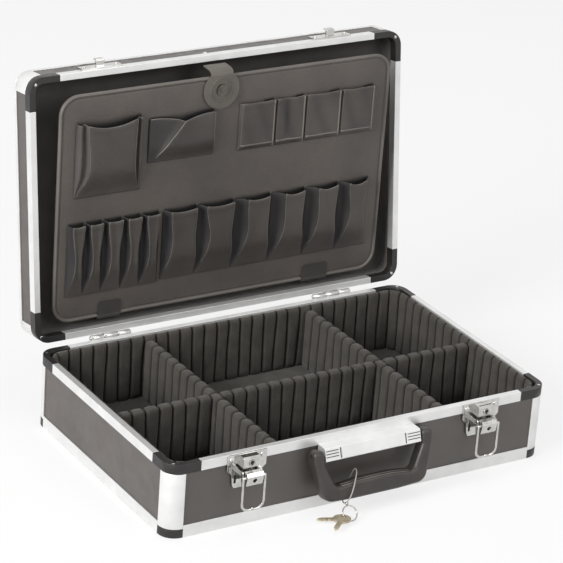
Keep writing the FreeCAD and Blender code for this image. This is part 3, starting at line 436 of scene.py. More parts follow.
def liner():
    """The ribbed band round the inside of the base walls."""
    half_x, half_y, corner, top = 206.0, 127.5, 17.0, 74.0
    thickness, least, sink = 5.0, 0.6, 2.6
    straight_x = 2 * (half_x - corner)
    straight_y = 2 * (half_y - corner)
    arc = corner * math.pi / 2
    length = 2 * (straight_x + straight_y) + 4 * arc
    starts = [
        Vector((-half_x + corner, -half_y)),
        Vector((half_x, -half_y + corner)),
        Vector((half_x - corner, half_y)),
        Vector((-half_x, half_y - corner)),
    ]

    def wall(distance):
        """Point on the wall and inward direction at that distance along it."""
        distance %= length
        for turn, run in enumerate((straight_x, straight_y, straight_x, straight_y)):
            ahead = Vector((math.cos(turn * math.pi / 2), math.sin(turn * math.pi / 2)))
            inward = Vector((-ahead.y, ahead.x))
            if distance <= run:
                return starts[turn] + ahead * distance, inward
            distance -= run
            if distance <= arc:
                centre = starts[turn] + ahead * run + inward * corner
                swing = turn * math.pi / 2 + distance / corner
                inward = Vector((-math.sin(swing), math.cos(swing)))
                return centre - inward * corner, inward
            distance -= arc
        return starts[0], Vector((0, 1))

    ribs = round(length / RIB_PITCH)
    pitch = length / ribs
    heights = [FOAM_LOW, 14, 24, 34, 44, 54, 62, 68, 71.2, 73, top]
    drops = [0, 0, 0, 0, 0, 0, 0, 0, 0.3, 1.0, 2.4]
    phases = [random.uniform(0, ANY_PHASE) for _ in range(ribs)]
    points, shades = [], []
    for rib in range(ribs):
        for share in RIB_STEPS:
            ring = []
            for height, drop in zip(heights, drops):
                shift = 0.7 * sway(height, 17, phases[rib], phases[(rib + 1) % ribs], share)
                spot, inward = wall((rib + share) * pitch + shift)
                depth = thickness - rib_depth(share, sink, pitch) - drop
                spot = spot + inward * max(depth, least)
                ring.append((spot.x, spot.y, height))
            back, _ = wall((rib + share) * pitch)
            points.append((back.x, back.y, FOAM_LOW))
            points += ring
            points.append((back.x, back.y, top))
            # Painted shade for each point, darkest in the grooves
            shades += [groove_shade(share, pitch)] * (len(heights) + 2)
    rows = ribs * len(RIB_STEPS)
    columns = len(heights) + 2
    faces = grid_faces(rows, columns, row_loop=True, column_loop=True)
    made = piece("foam_liner", points, faces, [FOAM], "base", painted_shades=shades)
    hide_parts("foam_liner_front", "foam_liner_back", "foam_liner_sides", "foam_liner_corners")


def divider(node, along, low, high, middle):
    """A foam divider with ribs on both faces and a scalloped rounded top."""
    top, half_thickness, groove, crown_round = 71.5, 4.95, 2.3, 4.2
    turn_steps = 9
    length = high - low
    ribs = round(length / RIB_PITCH)
    pitch = length / ribs
    stations = [(rib, share) for rib in range(ribs) for share in RIB_STEPS] + [(ribs - 1, 1.0)]
    phases = [random.uniform(0, ANY_PHASE) for _ in range(ribs + 1)]
    heights = [FOAM_LOW, 20, 32, 44, 55, 63]
    rows = []
    for rib, share in stations:
        sink = rib_depth(share, groove, pitch)
        half = half_thickness - sink
        crown = top - 0.9 * sink - 1.4 * abs(2 * share - 1) ** 4
        outline = [(-half, height) for height in heights]
        for step in range(turn_steps):
            swing = math.pi * (1 - step / (turn_steps - 1))
            across = math.copysign(abs(math.cos(swing)) ** 0.6, math.cos(swing))
            height = crown - crown_round + crown_round * abs(math.sin(swing)) ** 0.7
            outline.append((half * across, height))
        outline += [(half, height) for height in reversed(heights)]
        ring = []
        for across, height in outline:
            shift = 0.6 * sway(height, 15, phases[rib], phases[rib + 1], share)
            ends = min(rib + share, ribs - rib - share)
            place = low + (rib + share) * pitch + shift * smooth(ends)
            if along == "X":
                ring.append((place, middle + across, height))
            else:
                ring.append((middle - across, place, height))
        rows.append(ring)
    columns = len(rows[0])
    points = [point for ring in rows for point in ring]
    faces = grid_faces(len(rows), columns, column_loop=True)
    faces.append(tuple(range(columns)))
    faces.append(tuple(range(len(points) - 1, len(points) - columns - 1, -1)))
    # Painted shade for each point, darkest in the grooves
    shades = [groove_shade(share, pitch) for _, share in stations for _ in range(columns)]
    made = piece(f"foam_{node}", points, faces, [FOAM], "base", painted_shades=shades)
    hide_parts(node)


def foam_floor():
    """The foam mat on the floor, slightly uneven."""
    columns, rows = 85, 53
    half_x, half_y, level, gauge = 206.8, 128.3, 7.85, 2.2
    points = []
    for row in range(rows):
        for column in range(columns):
            x = -half_x + 2 * half_x * column / (columns - 1)
            y = -half_y + 2 * half_y * row / (rows - 1)
            dent = 0.22 * math.sin(x / 5.1) * math.sin(y / 5.3) + random.uniform(-0.08, 0.08)
            points.append((x, y, level + dent))
    faces = grid_faces(rows, columns)
    made = piece("foam_mat", points, faces, [FOAM], "base")
    thicken(made, gauge)
    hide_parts("foam_floor")


liner()
foam_floor()
LONG_X, LONG_END, CROSS_Y = 94, 122.3, -11
divider("divider_long_left", "Y", -LONG_END, LONG_END, -LONG_X)
divider("divider_long_right", "Y", -LONG_END, LONG_END, LONG_X)
divider("divider_cross_left", "X", -200.8, -99.2, CROSS_Y)
divider("divider_cross_middle", "X", -88.8, 88.8, CROSS_Y)
divider("divider_cross_right", "X", 99.2, 200.8, CROSS_Y)


# Lid lining

HINGE_Y, HINGE_Z, OPENING = 137.5, 76.25, math.radians(97)


def opened(x, y, z):
    """A point of the closed lid where it lies with the lid open."""
    ahead, up = y - HINGE_Y, z - HINGE_Z
    return (
        x,
        HINGE_Y + ahead * math.cos(OPENING) + up * math.sin(OPENING),
        HINGE_Z - ahead * math.sin(OPENING) + up * math.cos(OPENING),
    )


def rounded(half_x, half_y, corner, per_corner=8):
    """Points round a rectangle with rounded corners, anticlockwise from the lower right."""
    line = []
    for turn, (sx, sy) in enumerate(((1, -1), (1, 1), (-1, 1), (-1, -1))):
        for step in range(per_corner + 1):
            swing = math.pi / 2 * (turn - 1 + step / per_corner)
            x = sx * (half_x - corner) + corner * math.cos(swing)
            y = sy * (half_y - corner) + corner * math.sin(swing)
            line.append((x, y))
    return line


def lid_lining():
    """The cloth on the inside of the lid, taken up its walls to the rim."""
    half_x, half_y, corner, least_corner = 207.2, 128.7, 11, 2
    rings = [(0.1, 86.4), (0.5, 86.6), (0.6, 92), (0.7, 98), (0.8, 101.9)]
    rings += [(1.6, 103.1), (3.4, 103.6), (8, 103.8), (20, 103.8)]
    points = []
    for inset, height in rings:
        outline = rounded(half_x - inset, half_y - inset, max(corner - inset / 2, least_corner))
        points += [opened(x, y, height) for x, y in outline]
    columns = len(outline)
    faces = grid_faces(len(rings), columns, column_loop=True)
    faces.append(tuple(range(len(points) - columns, len(points))))
    made = piece("lid_cloth", points, faces, [LINING], "lid")
    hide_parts("lid_lining")


lid_lining()


# Tool pallet

# Y of the board's front face, and the outline of the pallet
BOARD = 150.0
PALLET_X, PALLET_LOW, PALLET_TOP = 189.0, 92.0, 331.0
PALLET_CORNER, LEAST_CORNER = 20, 5


def pallet_board():
    """The leatherette covered board with a piped edge."""
    centre_z = (PALLET_LOW + PALLET_TOP) / 2
    half_z = (PALLET_TOP - PALLET_LOW) / 2
    rings = [(14.0, 153.9), (3.0, 153.9), (0.8, 153.4), (0.0, 152.4), (0.0, 151.4)]
    rings += [(0.1, 150.4), (0.7, 149.5), (1.7, 149.1), (2.7, 149.5), (3.3, 150.3)]
    rings += [(3.7, 150.9), (4.5, 150.9), (5.2, 150.3), (6.4, 150.0), (24.0, 150.0)]
    piping = range(3, 9)
    points = []
    for inset, y in rings:
        outline = rounded(PALLET_X - inset, half_z - inset, max(PALLET_CORNER - inset, LEAST_CORNER))
        points += [(x, y, centre_z + z) for x, z in outline]
    columns = len(outline)
    faces = grid_faces(len(rings), columns, column_loop=True)
    # The piping takes the lighter leatherette, a painted highlight
    marks = [1 if face // columns in piping else 0 for face in range(len(faces))]
    faces.append(tuple(range(columns - 1, -1, -1)))
    faces.append(tuple(range(len(points) - columns, len(points))))
    marks += [0, 0]
    made = piece("pallet", points, faces, [LEATHER, LEATHER_HIGHLIGHT], "pallet", marks)
    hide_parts("pallet_board")


creases = Tubes()
# Lighter bands along fold edges, a painted highlight
highlight_bands = Tubes()
stitches = Tubes()
# Where beads and stitches lie against the leatherette they follow
LIFT = Vector((0, 0.12, 0))
UNDER_HEM = Vector((0, -0.1, -0.7))
UNDER_FLAP = Vector((0, -0.1, -3.6))
OVER_FOOT = Vector((0, -0.3, 1.4))


def stitch_line(line, length=2.4, gap=1.4, radius=0.2):
    """A row of stitches along a line of points."""
    line = [Vector(point) for point in line]
    position = 0.0
    for start, stop in zip(line, line[1:]):
        run = (stop - start).length
        way = (stop - start).normalized() if run > 0 else Vector((1, 0, 0))
        while position + length <= run:
            stitches.add([start + way * position, start + way * (position + length)], radius, sides=5)
            position += length + gap
        position = max(position - run, 0.0)


# Share of the way from the seam to the front edge, and share of the depth there
VALLEY = [(0, 0), (0.2, 0.04), (0.42, 0.14), (0.62, 0.32), (0.82, 0.62)]
PLEAT = [(0, 0), (0.12, 0.5), (0.26, 0.78), (0.38, 0.72), (0.52, 0.3), (0.64, 0.22), (0.84, 0.62)]
# Shares of the height of a pocket at which it has points, below its hem
LEVELS = [0, 0.04, 0.09, 0.15, 0.22, 0.3, 0.38, 0.47, 0.56, 0.65, 0.74, 0.83]
FRONT_STEPS = 11
# How far a pocket stands off the board at its seams and at its foot, and how much its hem adds
SEAM, SEWN, HEM_RISE = 0.3, 0.8, 0.3
LEATHER_GAUGE = 0.7
# Depth of the waves in the front of a smooth pocket, and half the width of a crease as a share of the front
CALM = 0.14
CREASE_WIDTH = 0.13
# Radius of the beads on folded edges, which carry a painted highlight
CREASE_BEAD = 0.42


class Pocket:
    """One pocket of a row: its seams on the board and how far its front edges stand in from them."""

    # Dark says on which sides the gussets take painted shade.
    def __init__(
        self, seams, left, right, dip, fold=VALLEY, dark=(True, True), crease=None, crumple=CALM
    ):
        self.seams = seams
        self.left = left
        self.right = right
        self.dip = dip
        self.fold = fold
        self.dark = dark
        self.crease = crease
        self.crumple = crumple
        self.phase = random.uniform(0, ANY_PHASE)

    def draw_in(self, reach, v, rise):
        """How far an edge is drawn in there, from its reach half way up and its reach at the top."""
        middle, top = reach
        opening = middle * math.sin(min(v / rise, 1) * math.pi / 2)
        return opening + (top - middle) * smooth((v - 0.5) / 0.5)

    def wave(self, u, v):
        return math.sin(9 * u + 5 * v + self.phase)

    def creased(self, u, v):
        """How much of the crease is felt there, from 0 to 1."""
        if self.crease is None:
            return 0.0
        return math.exp(-(((u - self.crease) / CREASE_WIDTH) ** 2)) * smooth(v / 0.25)

    def shades(self, v):
        """How dark the painted shade is along the line at that share of the height, in the crease and the
        hollows of the waves.
        """
        sides = [0.0] * len(self.fold)
        front = []
        for step in range(FRONT_STEPS):
            u = step / (FRONT_STEPS - 1)
            hollow = (1 + self.wave(u, v)) / 2
            dark = 1.1 * (self.crumple - CALM) * hollow * hollow * (1 - (2 * u - 1) ** 4)
            front.append(dark + 0.5 * self.creased(u, v))
        return sides + front + sides

    def line(self, v, z0, z1, stand, rise):
        """Points from the left seam over the front to the right seam."""
        z = z0 + (z1 - z0) * v
        seam_left, seam_right = self.seams
        left = seam_left + self.draw_in(self.left, v, rise)
        right = seam_right - self.draw_in(self.right, v, rise)
        points = []
        for share, depth in self.fold:
            y = BOARD - SEAM - (stand - SEAM) * depth
            points.append((seam_left + (left - seam_left) * share, y, z))
        for step in range(FRONT_STEPS):
            u = step / (FRONT_STEPS - 1)
            bow = 1 - (2 * u - 1) ** 2
            sink = 0.1 * stand * bow * smooth(v / 0.5)
            sink += self.crumple * self.wave(u, v) * smooth(v / 0.3) * bow
            sink += 0.55 * stand * self.creased(u, v)
            drop = self.dip * (bow + 0.25 * (1 - u)) * smooth((v - 0.3) / 0.7)
            points.append((left + (right - left) * u, BOARD - stand + sink, z - drop))
        for share, depth in reversed(self.fold):
            y = BOARD - SEAM - (stand - SEAM) * depth
            points.append((seam_right + (right - seam_right) * share, y, z))
        return points


def pocket_row(node, pockets, z0, z1, depth, rise=0.42, lens=0.42, hem=5.0, banded=False):
    """A row of pockets sewn from one strip of leatherette between two heights.

    A pocket has its full depth from about the share of its height called rise, and its edges are drawn in
    up to the share called lens. A banded row has bands of lighter leatherette, a painted highlight, at its
    right edges and along its foot.
    """
    points, faces, marks, shades = [], [], [], []
    hem_share = hem / (z1 - z0)
    step_half = 0.008
    levels = LEVELS + [1 - hem_share - step_half, 1 - hem_share + step_half, 1 - hem_share / 2, 1]
    for pocket in pockets:
        sides = len(pocket.fold)
        grid = []
        for v in levels:
            stand = SEWN + (depth - SEWN) * smooth(v / (rise * 0.9))
            if v > 1 - hem_share:
                stand += HEM_RISE
            grid.append(pocket.line(v, z0, z1, stand, lens))
            shades += pocket.shades(v)
        first = len(points)
        columns = len(grid[0])
        points += [point for line in grid for point in line]
        new = grid_faces(len(grid), columns, first)
        faces += new
        # Gussets on a pocket's dark sides take painted shade
        for face in new:
            column = (face[0] - first) % columns
            on_left = column < sides and pocket.dark[0]
            on_right = column >= sides + FRONT_STEPS - 1 and pocket.dark[1]
            marks.append(1 if on_left or on_right else 0)
        front = [[Vector(point) for point in line[sides : sides + FRONT_STEPS]] for line in grid]
        mouth = front[-1]
        right_edge = [line[-1] + LIFT for line in front]
        creases.add([line[0] + LIFT for line in front], CREASE_BEAD)
        if banded:
            highlight_bands.add(right_edge, 1.2)
        else:
            creases.add(right_edge, CREASE_BEAD)
        creases.add([point + LIFT for point in mouth], 0.5)
        stitch_line([point + UNDER_HEM for point in front[-4]])
        if banded:
            highlight_bands.add([point + Vector((0, 0.1, 0.8)) for point in front[2]], 1.1)
            add_hollow(mouth[7:], (mouth[7].x, pocket.seams[1] - HOLLOW_INSET))
        else:
            stitch_line([point + OVER_FOOT for point in front[0]])
            add_hollow(mouth, (pocket.seams[0] + HOLLOW_INSET, pocket.seams[1] - HOLLOW_INSET))
    looks = [POCKET, LEATHER_PAINTED_SHADE]
    made = piece(f"leather_{node}", points, faces, looks, None, marks, shades)
    thicken(made, LEATHER_GAUGE, 1.0)
    soften(made)
    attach(made, "pallet")
    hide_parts(node)


hollow_points, hollow_faces, hollow_shades = [], [], []
HOLLOW_INSET, HOLLOW_DEPTH, HOLLOW_FADE = 1.5, 14, 2.2


def add_hollow(mouth, ends):
    """Leatherette on the board behind the mouth of a pocket, with a painted shadow fading upwards."""
    first = len(hollow_points)
    for point in mouth:
        u = (point.x - mouth[0].x) / (mouth[-1].x - mouth[0].x)
        x = ends[0] + (ends[1] - ends[0]) * u
        top = mouth[0].z + (mouth[-1].z - mouth[0].z) * u + HOLLOW_FADE
        for z, shade in ((point.z - HOLLOW_DEPTH, 1), (point.z + 0.2, 1), (top, 0)):
            hollow_points.append((x, BOARD - 0.15, z))
            hollow_shades.append(shade)
    for face in grid_faces(len(mouth), 3, first):
        hollow_faces.append(tuple(reversed(face)))


def flap_pocket(node, x0, x1, z0, z1, depth):
    """The pocket whose front is creased from its lower left corner to the middle of its mouth."""
    width = x1 - x0
    levels = LEVELS + [0.91, 1.0]
    left_steps, right_steps = 7, 10
    grid = []
    for v in levels:
        z = z0 + (z1 - z0) * v
        stand = SEWN + (depth - SEWN) * smooth(v / 0.4)
        fold = x0 + width * (0.07 + 0.43 * v)
        mouth = smooth((v - 0.25) / 0.75)
        line = [(x0, BOARD - SEAM, z)]
        for step in range(left_steps):
            t = step / left_steps
            x = x0 + SEWN + (fold - x0 - SEWN) * t
            y = BOARD - SEAM - stand * (0.28 + 0.3 * t * t)
            line.append((x, y, z - mouth * (1.0 + 5.0 * t * t)))
        for step in range(right_steps + 1):
            t = step / right_steps
            right = x1 - 3.5 * smooth(v / 0.45)
            y = BOARD - stand * (0.98 - 0.22 * math.sin(math.pi * t) * smooth(v / 0.4))
            drop = mouth * 6.0 * (1 - t) ** 1.4
            line.append((fold + (right - fold) * t, y, z - drop))
        line.append((x1 - 1.0, BOARD - 0.45 * stand, z))
        line.append((x1, BOARD - SEAM, z))
        grid.append(line)
    columns = len(grid[0])
    points = [point for line in grid for point in line]
    faces = grid_faces(len(grid), columns)
    # Left of the crease the front takes painted shade
    marks = [1 if face[0] % columns <= left_steps else 0 for face in faces]
    made = piece(f"leather_{node}", points, faces, [POCKET, SHADE], None, marks)
    thicken(made, LEATHER_GAUGE, 1.0)
    soften(made)
    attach(made, "pallet")
    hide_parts(node)
    ridge = left_steps + 1
    top = [Vector(point) + LIFT for point in grid[-1]]
    highlight_bands.add([Vector(line[ridge]) + LIFT for line in grid], 0.7)
    highlight_bands.add(top[1 : ridge + 1], 0.65)
    creases.add(top[ridge:-2], 0.55)
    creases.add([Vector(line[-3]) + LIFT for line in grid], 0.45)
    stitch_line([Vector(point) + UNDER_FLAP for point in grid[-1][2:ridge]])
    stitch_line([Vector(point) + OVER_FOOT for point in grid[0][ridge:-2]])
    add_hollow([Vector(point) for point in grid[-1][1:-1]], (x0 + HOLLOW_INSET, x1 - HOLLOW_INSET))


pallet_board()
# Gussets on neither side take painted shade
LIGHT_SIDES = (False, False)
LARGE = [Pocket((-171, -99), (13, 10), (10, 9), 5.5, PLEAT, LIGHT_SIDES)]
pocket_row("pocket_large", LARGE, 224, 302, 8.4)
flap_pocket("pocket_flap", -91, -17, 250, 297, 7.8)
# Seams of each small pocket, and where its front is creased
SMALL_SEAMS = [((11, 52), None), ((52, 87), 0.38), ((87, 129.5), None), ((129.5, 170), None)]
SMALL = [
    Pocket(seams, (2.4, 2.8), (1.6, 1.8), 1.1, VALLEY, LIGHT_SIDES, crease, crumple=0.45)
    for seams, crease in SMALL_SEAMS
]
pocket_row("pockets_small", SMALL, 249, 299, 3.4, rise=0.09, lens=0.09, banded=True)
NARROW_SEAMS = [-177, -157.5, -137.5, -115.5, -94.5, -74]
NARROW = [Pocket(seams, (7.2, 3.4), (6.0, 3.0), 1.2) for seams in zip(NARROW_SEAMS, NARROW_SEAMS[1:])]
pocket_row("pockets_narrow", NARROW, 120, 197, 8.0, lens=0.5)
WIDE = [
    Pocket((-70, -31), (9.0, 6.0), (5.0, 4.0), 2.2),
    Pocket((-31, 11.5), (13.5, 7.5), (5.5, 3.5), 2.4),
    Pocket((11.5, 55), (15.0, 13.0), (6.5, 5.5), 2.4),
    Pocket((55, 96), (14.5, 13.5), (6.5, 5.0), 2.8),
    Pocket((96, 136), (14.0, 12.5), (7.0, 5.0), 3.0),
    Pocket((136, 174), (13.0, 9.5), (10.5, 8.0), 3.4, VALLEY, (True, False)),
]
pocket_row("pockets_wide", WIDE, 122, 197, 8.4, lens=0.66)
creases.make("pocket_creases", LEATHER_HIGHLIGHT, "pallet", "leatherette")
highlight_bands.make("pocket_highlight_bands", HIGHLIGHT_BAND, "pallet", "leatherette")
stitches.make("pocket_stitches", THREAD, "pallet", "leatherette")
piece("pocket_hollows", hollow_points, hollow_faces, [MOUTH], "pallet", None, hollow_shades)


def band(name, middle, stations, gauge, look, columns=17):
    """A closed strip of leatherette along stations of Y, Z and half width, its outer face given."""
    outer, inner = [], []
    for i, (y, z, half) in enumerate(stations):
        before = stations[max(i - 1, 0)]
        after = stations[min(i + 1, len(stations) - 1)]
        way = Vector((after[0] - before[0], after[1] - before[1])).normalized()
        for column in range(columns):
            x = middle + half * (2 * column / (columns - 1) - 1)
            outer.append((x, y, z))
            inner.append((x, y - gauge * way.y, z + gauge * way.x))
    rows = len(stations)
    count = rows * columns
    faces = grid_faces(rows, columns)
    faces += [tuple(reversed(face)) for face in grid_faces(rows, columns, count)]
    rim = [(0, column) for column in range(columns)]
    rim += [(row, columns - 1) for row in range(1, rows)]
    rim += [(rows - 1, column) for column in range(columns - 2, -1, -1)]
    rim += [(row, 0) for row in range(rows - 2, 0, -1)]
    loop = [row * columns + column for row, column in rim]
    for a, b in zip(loop, loop[1:] + loop[:1]):
        faces.append((b, a, a + count, b + count))
    made = piece(name, outer + inner, faces, [look], None)
    made.data.set_sharp_from_angle(angle=math.radians(50))
    return made


def strap():
    """The strap from the lid over the top of the pallet, ending in a round tab."""
    middle, neck, radius, centre = -12.0, 12.5, 20.0, 317.0
    face, top, end, steps = 147.6, 332.6, 297.2, 20
    root = [(165.2, 338.1), (162.0, 338.0), (158.0, 337.8), (153.5, 337.4)]
    root += [(151.0, 336.8), (149.2, 335.6), (148.2, 334.0)]
    stations = [(y, z, neck) for y, z in root]
    for step in range(steps + 1):
        z = top - (top - end) * step / steps
        round_half = math.sqrt(max(radius**2 - (z - centre) ** 2, 4.0))
        stations.append((face, z, neck + (round_half - neck) * smooth((334.0 - z) / 4.5)))
    made = band("strap_leather", middle, stations, 1.1, STRAP)
    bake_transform(made)
    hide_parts("strap")
    ring = Tubes()
    for reach, size in ((12.5, 0.55), (10.2, 0.4)):
        line = []
        for step in range(20):
            swing = 0.1 * step * math.pi
            line.append((middle + reach * math.cos(swing), face - 0.05, centre + reach * math.sin(swing)))
        ring.add(line, size, closed=True)
    ring.make("strap_ring", LEATHER_HIGHLIGHT, "strap", "leatherette")


def pallet_tabs():
    """The two strips that hinge the pallet to the lid."""
    tabs = []
    face, top, corner, corner_steps = 149.1, 109.0, 4, 6
    path = [(face, 100.0), (face, 95.5), (149.2, 92.6), (149.7, 90.6)]
    path += [(150.8, 89.4), (152.6, 88.9), (156.0, 88.9), (166.6, 89.0)]
    for name, low, high in (("tab_left", -139.0, -113.0), ("tab_right", 99.0, 130.0)):
        half = (high - low) / 2
        stations = []
        for step in range(corner_steps + 1):
            swing = math.pi / 2 * step / corner_steps
            z = top - corner + corner * math.cos(swing)
            stations.append((face, z, half - corner + corner * math.sin(swing)))
        stations += [(y, z, half) for y, z in path]
        made = band(f"pallet_{name}", (low + high) / 2, stations, 0.85, TAB)
        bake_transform(made)
        tabs.append(made)
    for made in tabs:
        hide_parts("pallet_tabs")


strap()
pallet_tabs()


# Keys on their tie

# The tie leaves the key ring, goes up over the grip and comes back to the ring behind it.
TIE_RADIUS = 0.6
TIE_ROUTE = [(-33.374, -160.897, 15.164), (-31.5, -162.93, 20.37), (-27.5, -161.0, 28.75)]
# The middle of the grip, from which the rest of the route is given
GRIP_Y, GRIP_Z = -151.6607, 22.4868
OVER_GRIP = [(-23.5, -5.2, 13.0), (-20.0, -1.2, 18.6), (-17.6, 5.0, 18.4), (-16.4, 10.0, 13.6)]
OVER_GRIP += [(-17.0, 12.6, 7.0), (-19.8, 12.8, 0.0), (-24.4, 10.8, -7.5), (-29.4, 5.1, -12.3)]
OVER_GRIP.append((-32.7, -1.3, -13.1))
TIE_ROUTE += [(x, GRIP_Y + y, GRIP_Z + z) for x, y, z in OVER_GRIP]
TIE_ROUTE.append((-33.757, -159.415, 12.797))
curve = bpy.data.curves.new("tie", "CURVE")
curve.dimensions = "3D"
spline = curve.splines.new("NURBS")
spline.points.add(len(TIE_ROUTE) - 1)
for point, spot in zip(spline.points, TIE_ROUTE):
    point.co = (*(Vector(spot) * MM), 1)
spline.order_u = 3
spline.use_endpoint_u = True
spline.resolution_u = 12
curve.bevel_depth = TIE_RADIUS * MM
curve.bevel_resolution = 3
curve.use_fill_caps = True
curve.materials.append(TIE)
tie = bpy.data.objects.new("tie", curve)
bpy.context.scene.collection.objects.link(tie)
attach(tie, "keys")
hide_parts("key_tie")


# Small details on the metal and plastic

LATCHES = (("left", -131.5), ("right", 131.5))
# Y of the faces of a latch: its plate, its lock case and the nose of its lever
PLATE_FACE, CASE_FACE, NOSE_FACE = -135.5, -144.6, -147.0
BAIL_Y, BAIL_Z = -149.5, 24.1


class Plates(Gathered):
    """Thin flat plates from outlines of points."""

    def add(self, outline, rise):
        """An outline drawn on a face, raised by the vector given and domed a little."""
        first = len(self.points)
        count = len(outline)
        outline = [Vector(point) for point in outline]
        centre = sum(outline, Vector()) / count
        self.points += outline
        self.points += [centre + (point - centre) * 0.9 + rise * 0.7 for point in outline]
        self.points += [centre + (point - centre) * 0.55 + rise for point in outline]
        self.faces += grid_faces(3, count, first, column_loop=True)
        self.faces.append(tuple(range(first + 2 * count, first + 3 * count)))
        self.faces.append(tuple(range(first + count - 1, first - 1, -1)))


def on_front(x, y, z, half_x, half_z, steps=16):
    """A rounded outline on a face that looks to the front."""
    line = []
    corner = min(half_x, half_z)
    for k in range(steps):
        swing = 2 * math.pi * (k + 0.5) / steps
        right, up = math.cos(swing), math.sin(swing)
        point_x = x + math.copysign(half_x - corner, right) + corner * right
        point_z = z + math.copysign(half_z - corner, up) + corner * up
        line.append((point_x, y, point_z))
    return line


def latch_details():
    """Keyholes, plate slots and the holes in the lever noses as dark plates of painted shade, and the bumps
    under the bails.
    """
    slots = Plates()
    for side, x in LATCHES:
        for slot_x in (x + 12.2, x - 12.2):
            slots.add(on_front(slot_x, PLATE_FACE, 50.5, 1.3, 4.6), Vector((0, -0.12, 0)))
        slit = [(x - 7, -142.0), (x + 7, -142.0), (x + 7, -140.6), (x - 7, -140.6)]
        slots.add([(a, b, 75.0) for a, b in slit], Vector((0, 0, 0.1)))
        keyhole = Plates()
        keyhole.add(on_front(x, CASE_FACE, 69.6, 1.9, 1.9), Vector((0, -0.1, 0)))
        keyhole.add(on_front(x, CASE_FACE, 67.8, 0.7, 1.2), Vector((0, -0.12, 0)))
        keyhole.make(f"keyhole_{side}", DARK, f"{side}_lock", "lock_metal")
        nose = Plates()
        nose.add(on_front(x, NOSE_FACE, 54.0, 2.15, 2.15), Vector((0, -0.15, 0)))
        nose.make(f"nose_hole_{side}", DARK, f"{side}_lever", "bright_steel")
        bump = Tubes()
        bump.add([(x + step, BAIL_Y, BAIL_Z) for step in (-1.2, 0, 1.2)], 1.7, sides=10)
        bump.make(f"bail_bump_{side}", STEEL, f"{side}_bail", "bright_steel")
    slots.make("latch_slots", DARK, "base", "bright_steel")


def corner_details():
    """Bright rivet dots on the plastic corners of both rims."""
    base_dots, lid_dots = Plates(), Plates()
    rise, radius, base_rim, lid_rim = 0.18, 1.6, 76.0, 76.5
    up = Vector((0, 0, 1))
    down = Vector(opened(0, 0, 0)) - Vector(opened(0, 0, 1))
    swings = [0.125 * k * math.pi for k in range(16)]
    ring = [(math.cos(swing) * radius, math.sin(swing) * radius) for swing in swings]
    for x in (-205.6, 205.6):
        for y in (-127.1, 127.1):
            base_dots.add([(x + a, y + b, base_rim) for a, b in ring], up * rise)
            lid_dots.add([opened(x + a, y - b, lid_rim) for a, b in ring], down * rise)
    base_dots.make("corner_dots_base", STEEL, "base", "bright_steel")
    lid_dots.make("corner_dots_lid", STEEL, "lid", "bright_steel")


def bracket_details():
    """Dark beads for the painted shade in the grooves at both ends of the handle bracket, and light beads
    for the painted highlight on two ridges along the grip.
    """
    high = Vector((0, -146.0, 67.0))
    low = Vector((0, -149.6, 56.2))
    painted_shades = Tubes()
    for side in (-1, 1):
        for share in (0.2, 0.45, 0.7):
            spot = high.lerp(low, share)
            painted_shades.add([spot + Vector((side * x, 0, 0)) for x in (39.0, 43.0, 48.0, 52.6)], 0.42)
        across = Vector((side * 36.6, 0, 0))
        painted_shades.add([high.lerp(low, share) + across for share in (0.06, 0.35, 0.65, 0.94)], 0.5)
    painted_shades.make("bracket_grooves", DARK, "base", "aluminium")
    ridges = Tubes()
    tilt = math.radians(13)
    pivot_y, pivot_z, grip_below, grip_half = -143, 60, 38.5, 6.75
    for across, lower in ((-3.4, 0.0), (-6.0, 0.9)):
        line = []
        for x, drop in ((-38, 0.9), (-30, 1.3), (-22, 2.3), (-19, 2.55), (-10, 2.72), (0, 2.72)):
            up = -grip_below + grip_half + drop + 0.2 - lower
            y = pivot_y + across * math.cos(tilt) + up * math.sin(tilt)
            z = pivot_z - across * math.sin(tilt) + up * math.cos(tilt)
            line.append((x, y, z))
        line += [(-x, y, z) for x, y, z in reversed(line[:-1])]
        ridges.add(line, 0.45)
    ridges.make("grip_ridges", RIDGE_HIGHLIGHT, "handle", "handle_plastic")


latch_details()
corner_details()
bracket_details()


# Floor, light and camera


def stage_floor():
    """A pale floor that looks nearly white and keeps the shadow."""
    mesh = bpy.data.meshes.new("floor")
    far = 6.0
    corners = [(-far, -far, 0), (far, -far, 0), (far, far, 0), (-far, far, 0)]
    mesh.from_pydata(corners, [], [(0, 1, 2, 3)])
    floor = bpy.data.objects.new("floor", mesh)
    floor.location.z = -0.0004
    bpy.context.scene.collection.objects.link(floor)
    material = bpy.data.materials.new("floor")
    material.use_nodes = True
    tree = material.node_tree
    tree.nodes.clear()
    output = tree.nodes.new("ShaderNodeOutputMaterial")
    mix = tree.nodes.new("ShaderNodeMixShader")
    paint = tree.nodes.new("ShaderNodeBsdfDiffuse")
    paint.inputs["Color"].default_value = (0.92, 0.92, 0.92, 1)
    glow = tree.nodes.new("ShaderNodeEmission")
    tree.links.new(seen_rays(tree, 0.0, 0.74), mix.inputs["Fac"])
    tree.links.new(paint.outputs["BSDF"], mix.inputs[1])
    tree.links.new(glow.outputs["Emission"], mix.inputs[2])
    tree.links.new(mix.outputs["Shader"], output.inputs["Surface"])
    mesh.materials.append(material)


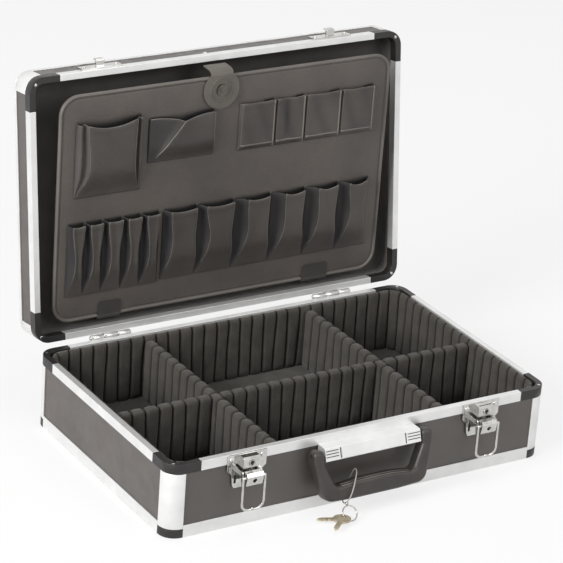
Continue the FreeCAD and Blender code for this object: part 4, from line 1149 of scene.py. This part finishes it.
def seen_rays(tree, other, seen):
    """One value for rays from the eye or a shiny surface and another for the rest."""
    path = tree.nodes.new("ShaderNodeLightPath")
    total = path.outputs["Is Camera Ray"]
    for ray in ("Is Glossy Ray", "Is Transmission Ray"):
        add = tree.nodes.new("ShaderNodeMath")
        add.operation = "ADD"
        add.use_clamp = True
        tree.links.new(total, add.inputs[0])
        tree.links.new(path.outputs[ray], add.inputs[1])
        total = add.outputs[0]
    span = tree.nodes.new("ShaderNodeMapRange")
    span.inputs["To Min"].default_value = other
    span.inputs["To Max"].default_value = seen
    tree.links.new(total, span.inputs["Value"])
    return span.outputs["Result"]


def lamp(name, place, target, size, power):
    light = bpy.data.lights.new(name, "AREA")
    light.shape = "DISK"
    light.size = size
    light.energy = power
    made = bpy.data.objects.new(name, light)
    made.location = place
    made.rotation_euler = (Vector(target) - Vector(place)).to_track_quat("-Z", "Y").to_euler()
    bpy.context.scene.collection.objects.link(made)


stage_floor()
world = bpy.data.worlds.new("studio")
bpy.context.scene.world = world
world.use_nodes = True
sky = world.node_tree.nodes["Background"]
sky.inputs["Color"].default_value = (1, 1, 1, 1)
world.node_tree.links.new(seen_rays(world.node_tree, 0.34, 1.0), sky.inputs["Strength"])
lamp("key", (-3.2, -0.7, 1.7), (0, 0, 0.1), 1.8, 118)
lamp("fill", (1.0, -2.9, 1.9), (0, 0.1, 0.15), 1.6, 25)
lamp("top", (0.3, 0.1, 3.0), (0, 0.05, 0), 1.8, 18)

SENSOR, FOCAL_PIXELS, IMAGE_PIXELS = 36.0, 2782.37, 563
camera = bpy.data.cameras.new("photo_view")
camera.sensor_width = SENSOR
camera.lens = SENSOR * FOCAL_PIXELS / IMAGE_PIXELS
viewer = bpy.data.objects.new("photo_view", camera)
right = Vector((0.8537, -0.5163, 0.068)).normalized()
ahead = Vector((0.497, 0.7687, -0.4026)).normalized()
up = right.cross(ahead).normalized()
turned = Matrix((right, up, -ahead)).transposed().to_4x4()
turned.translation = (-1.35201, -2.05849, 1.25111)
viewer.matrix_world = turned
bpy.context.scene.collection.objects.link(viewer)
bpy.context.scene.camera = viewer
bpy.context.scene.view_settings.view_transform = "Standard"
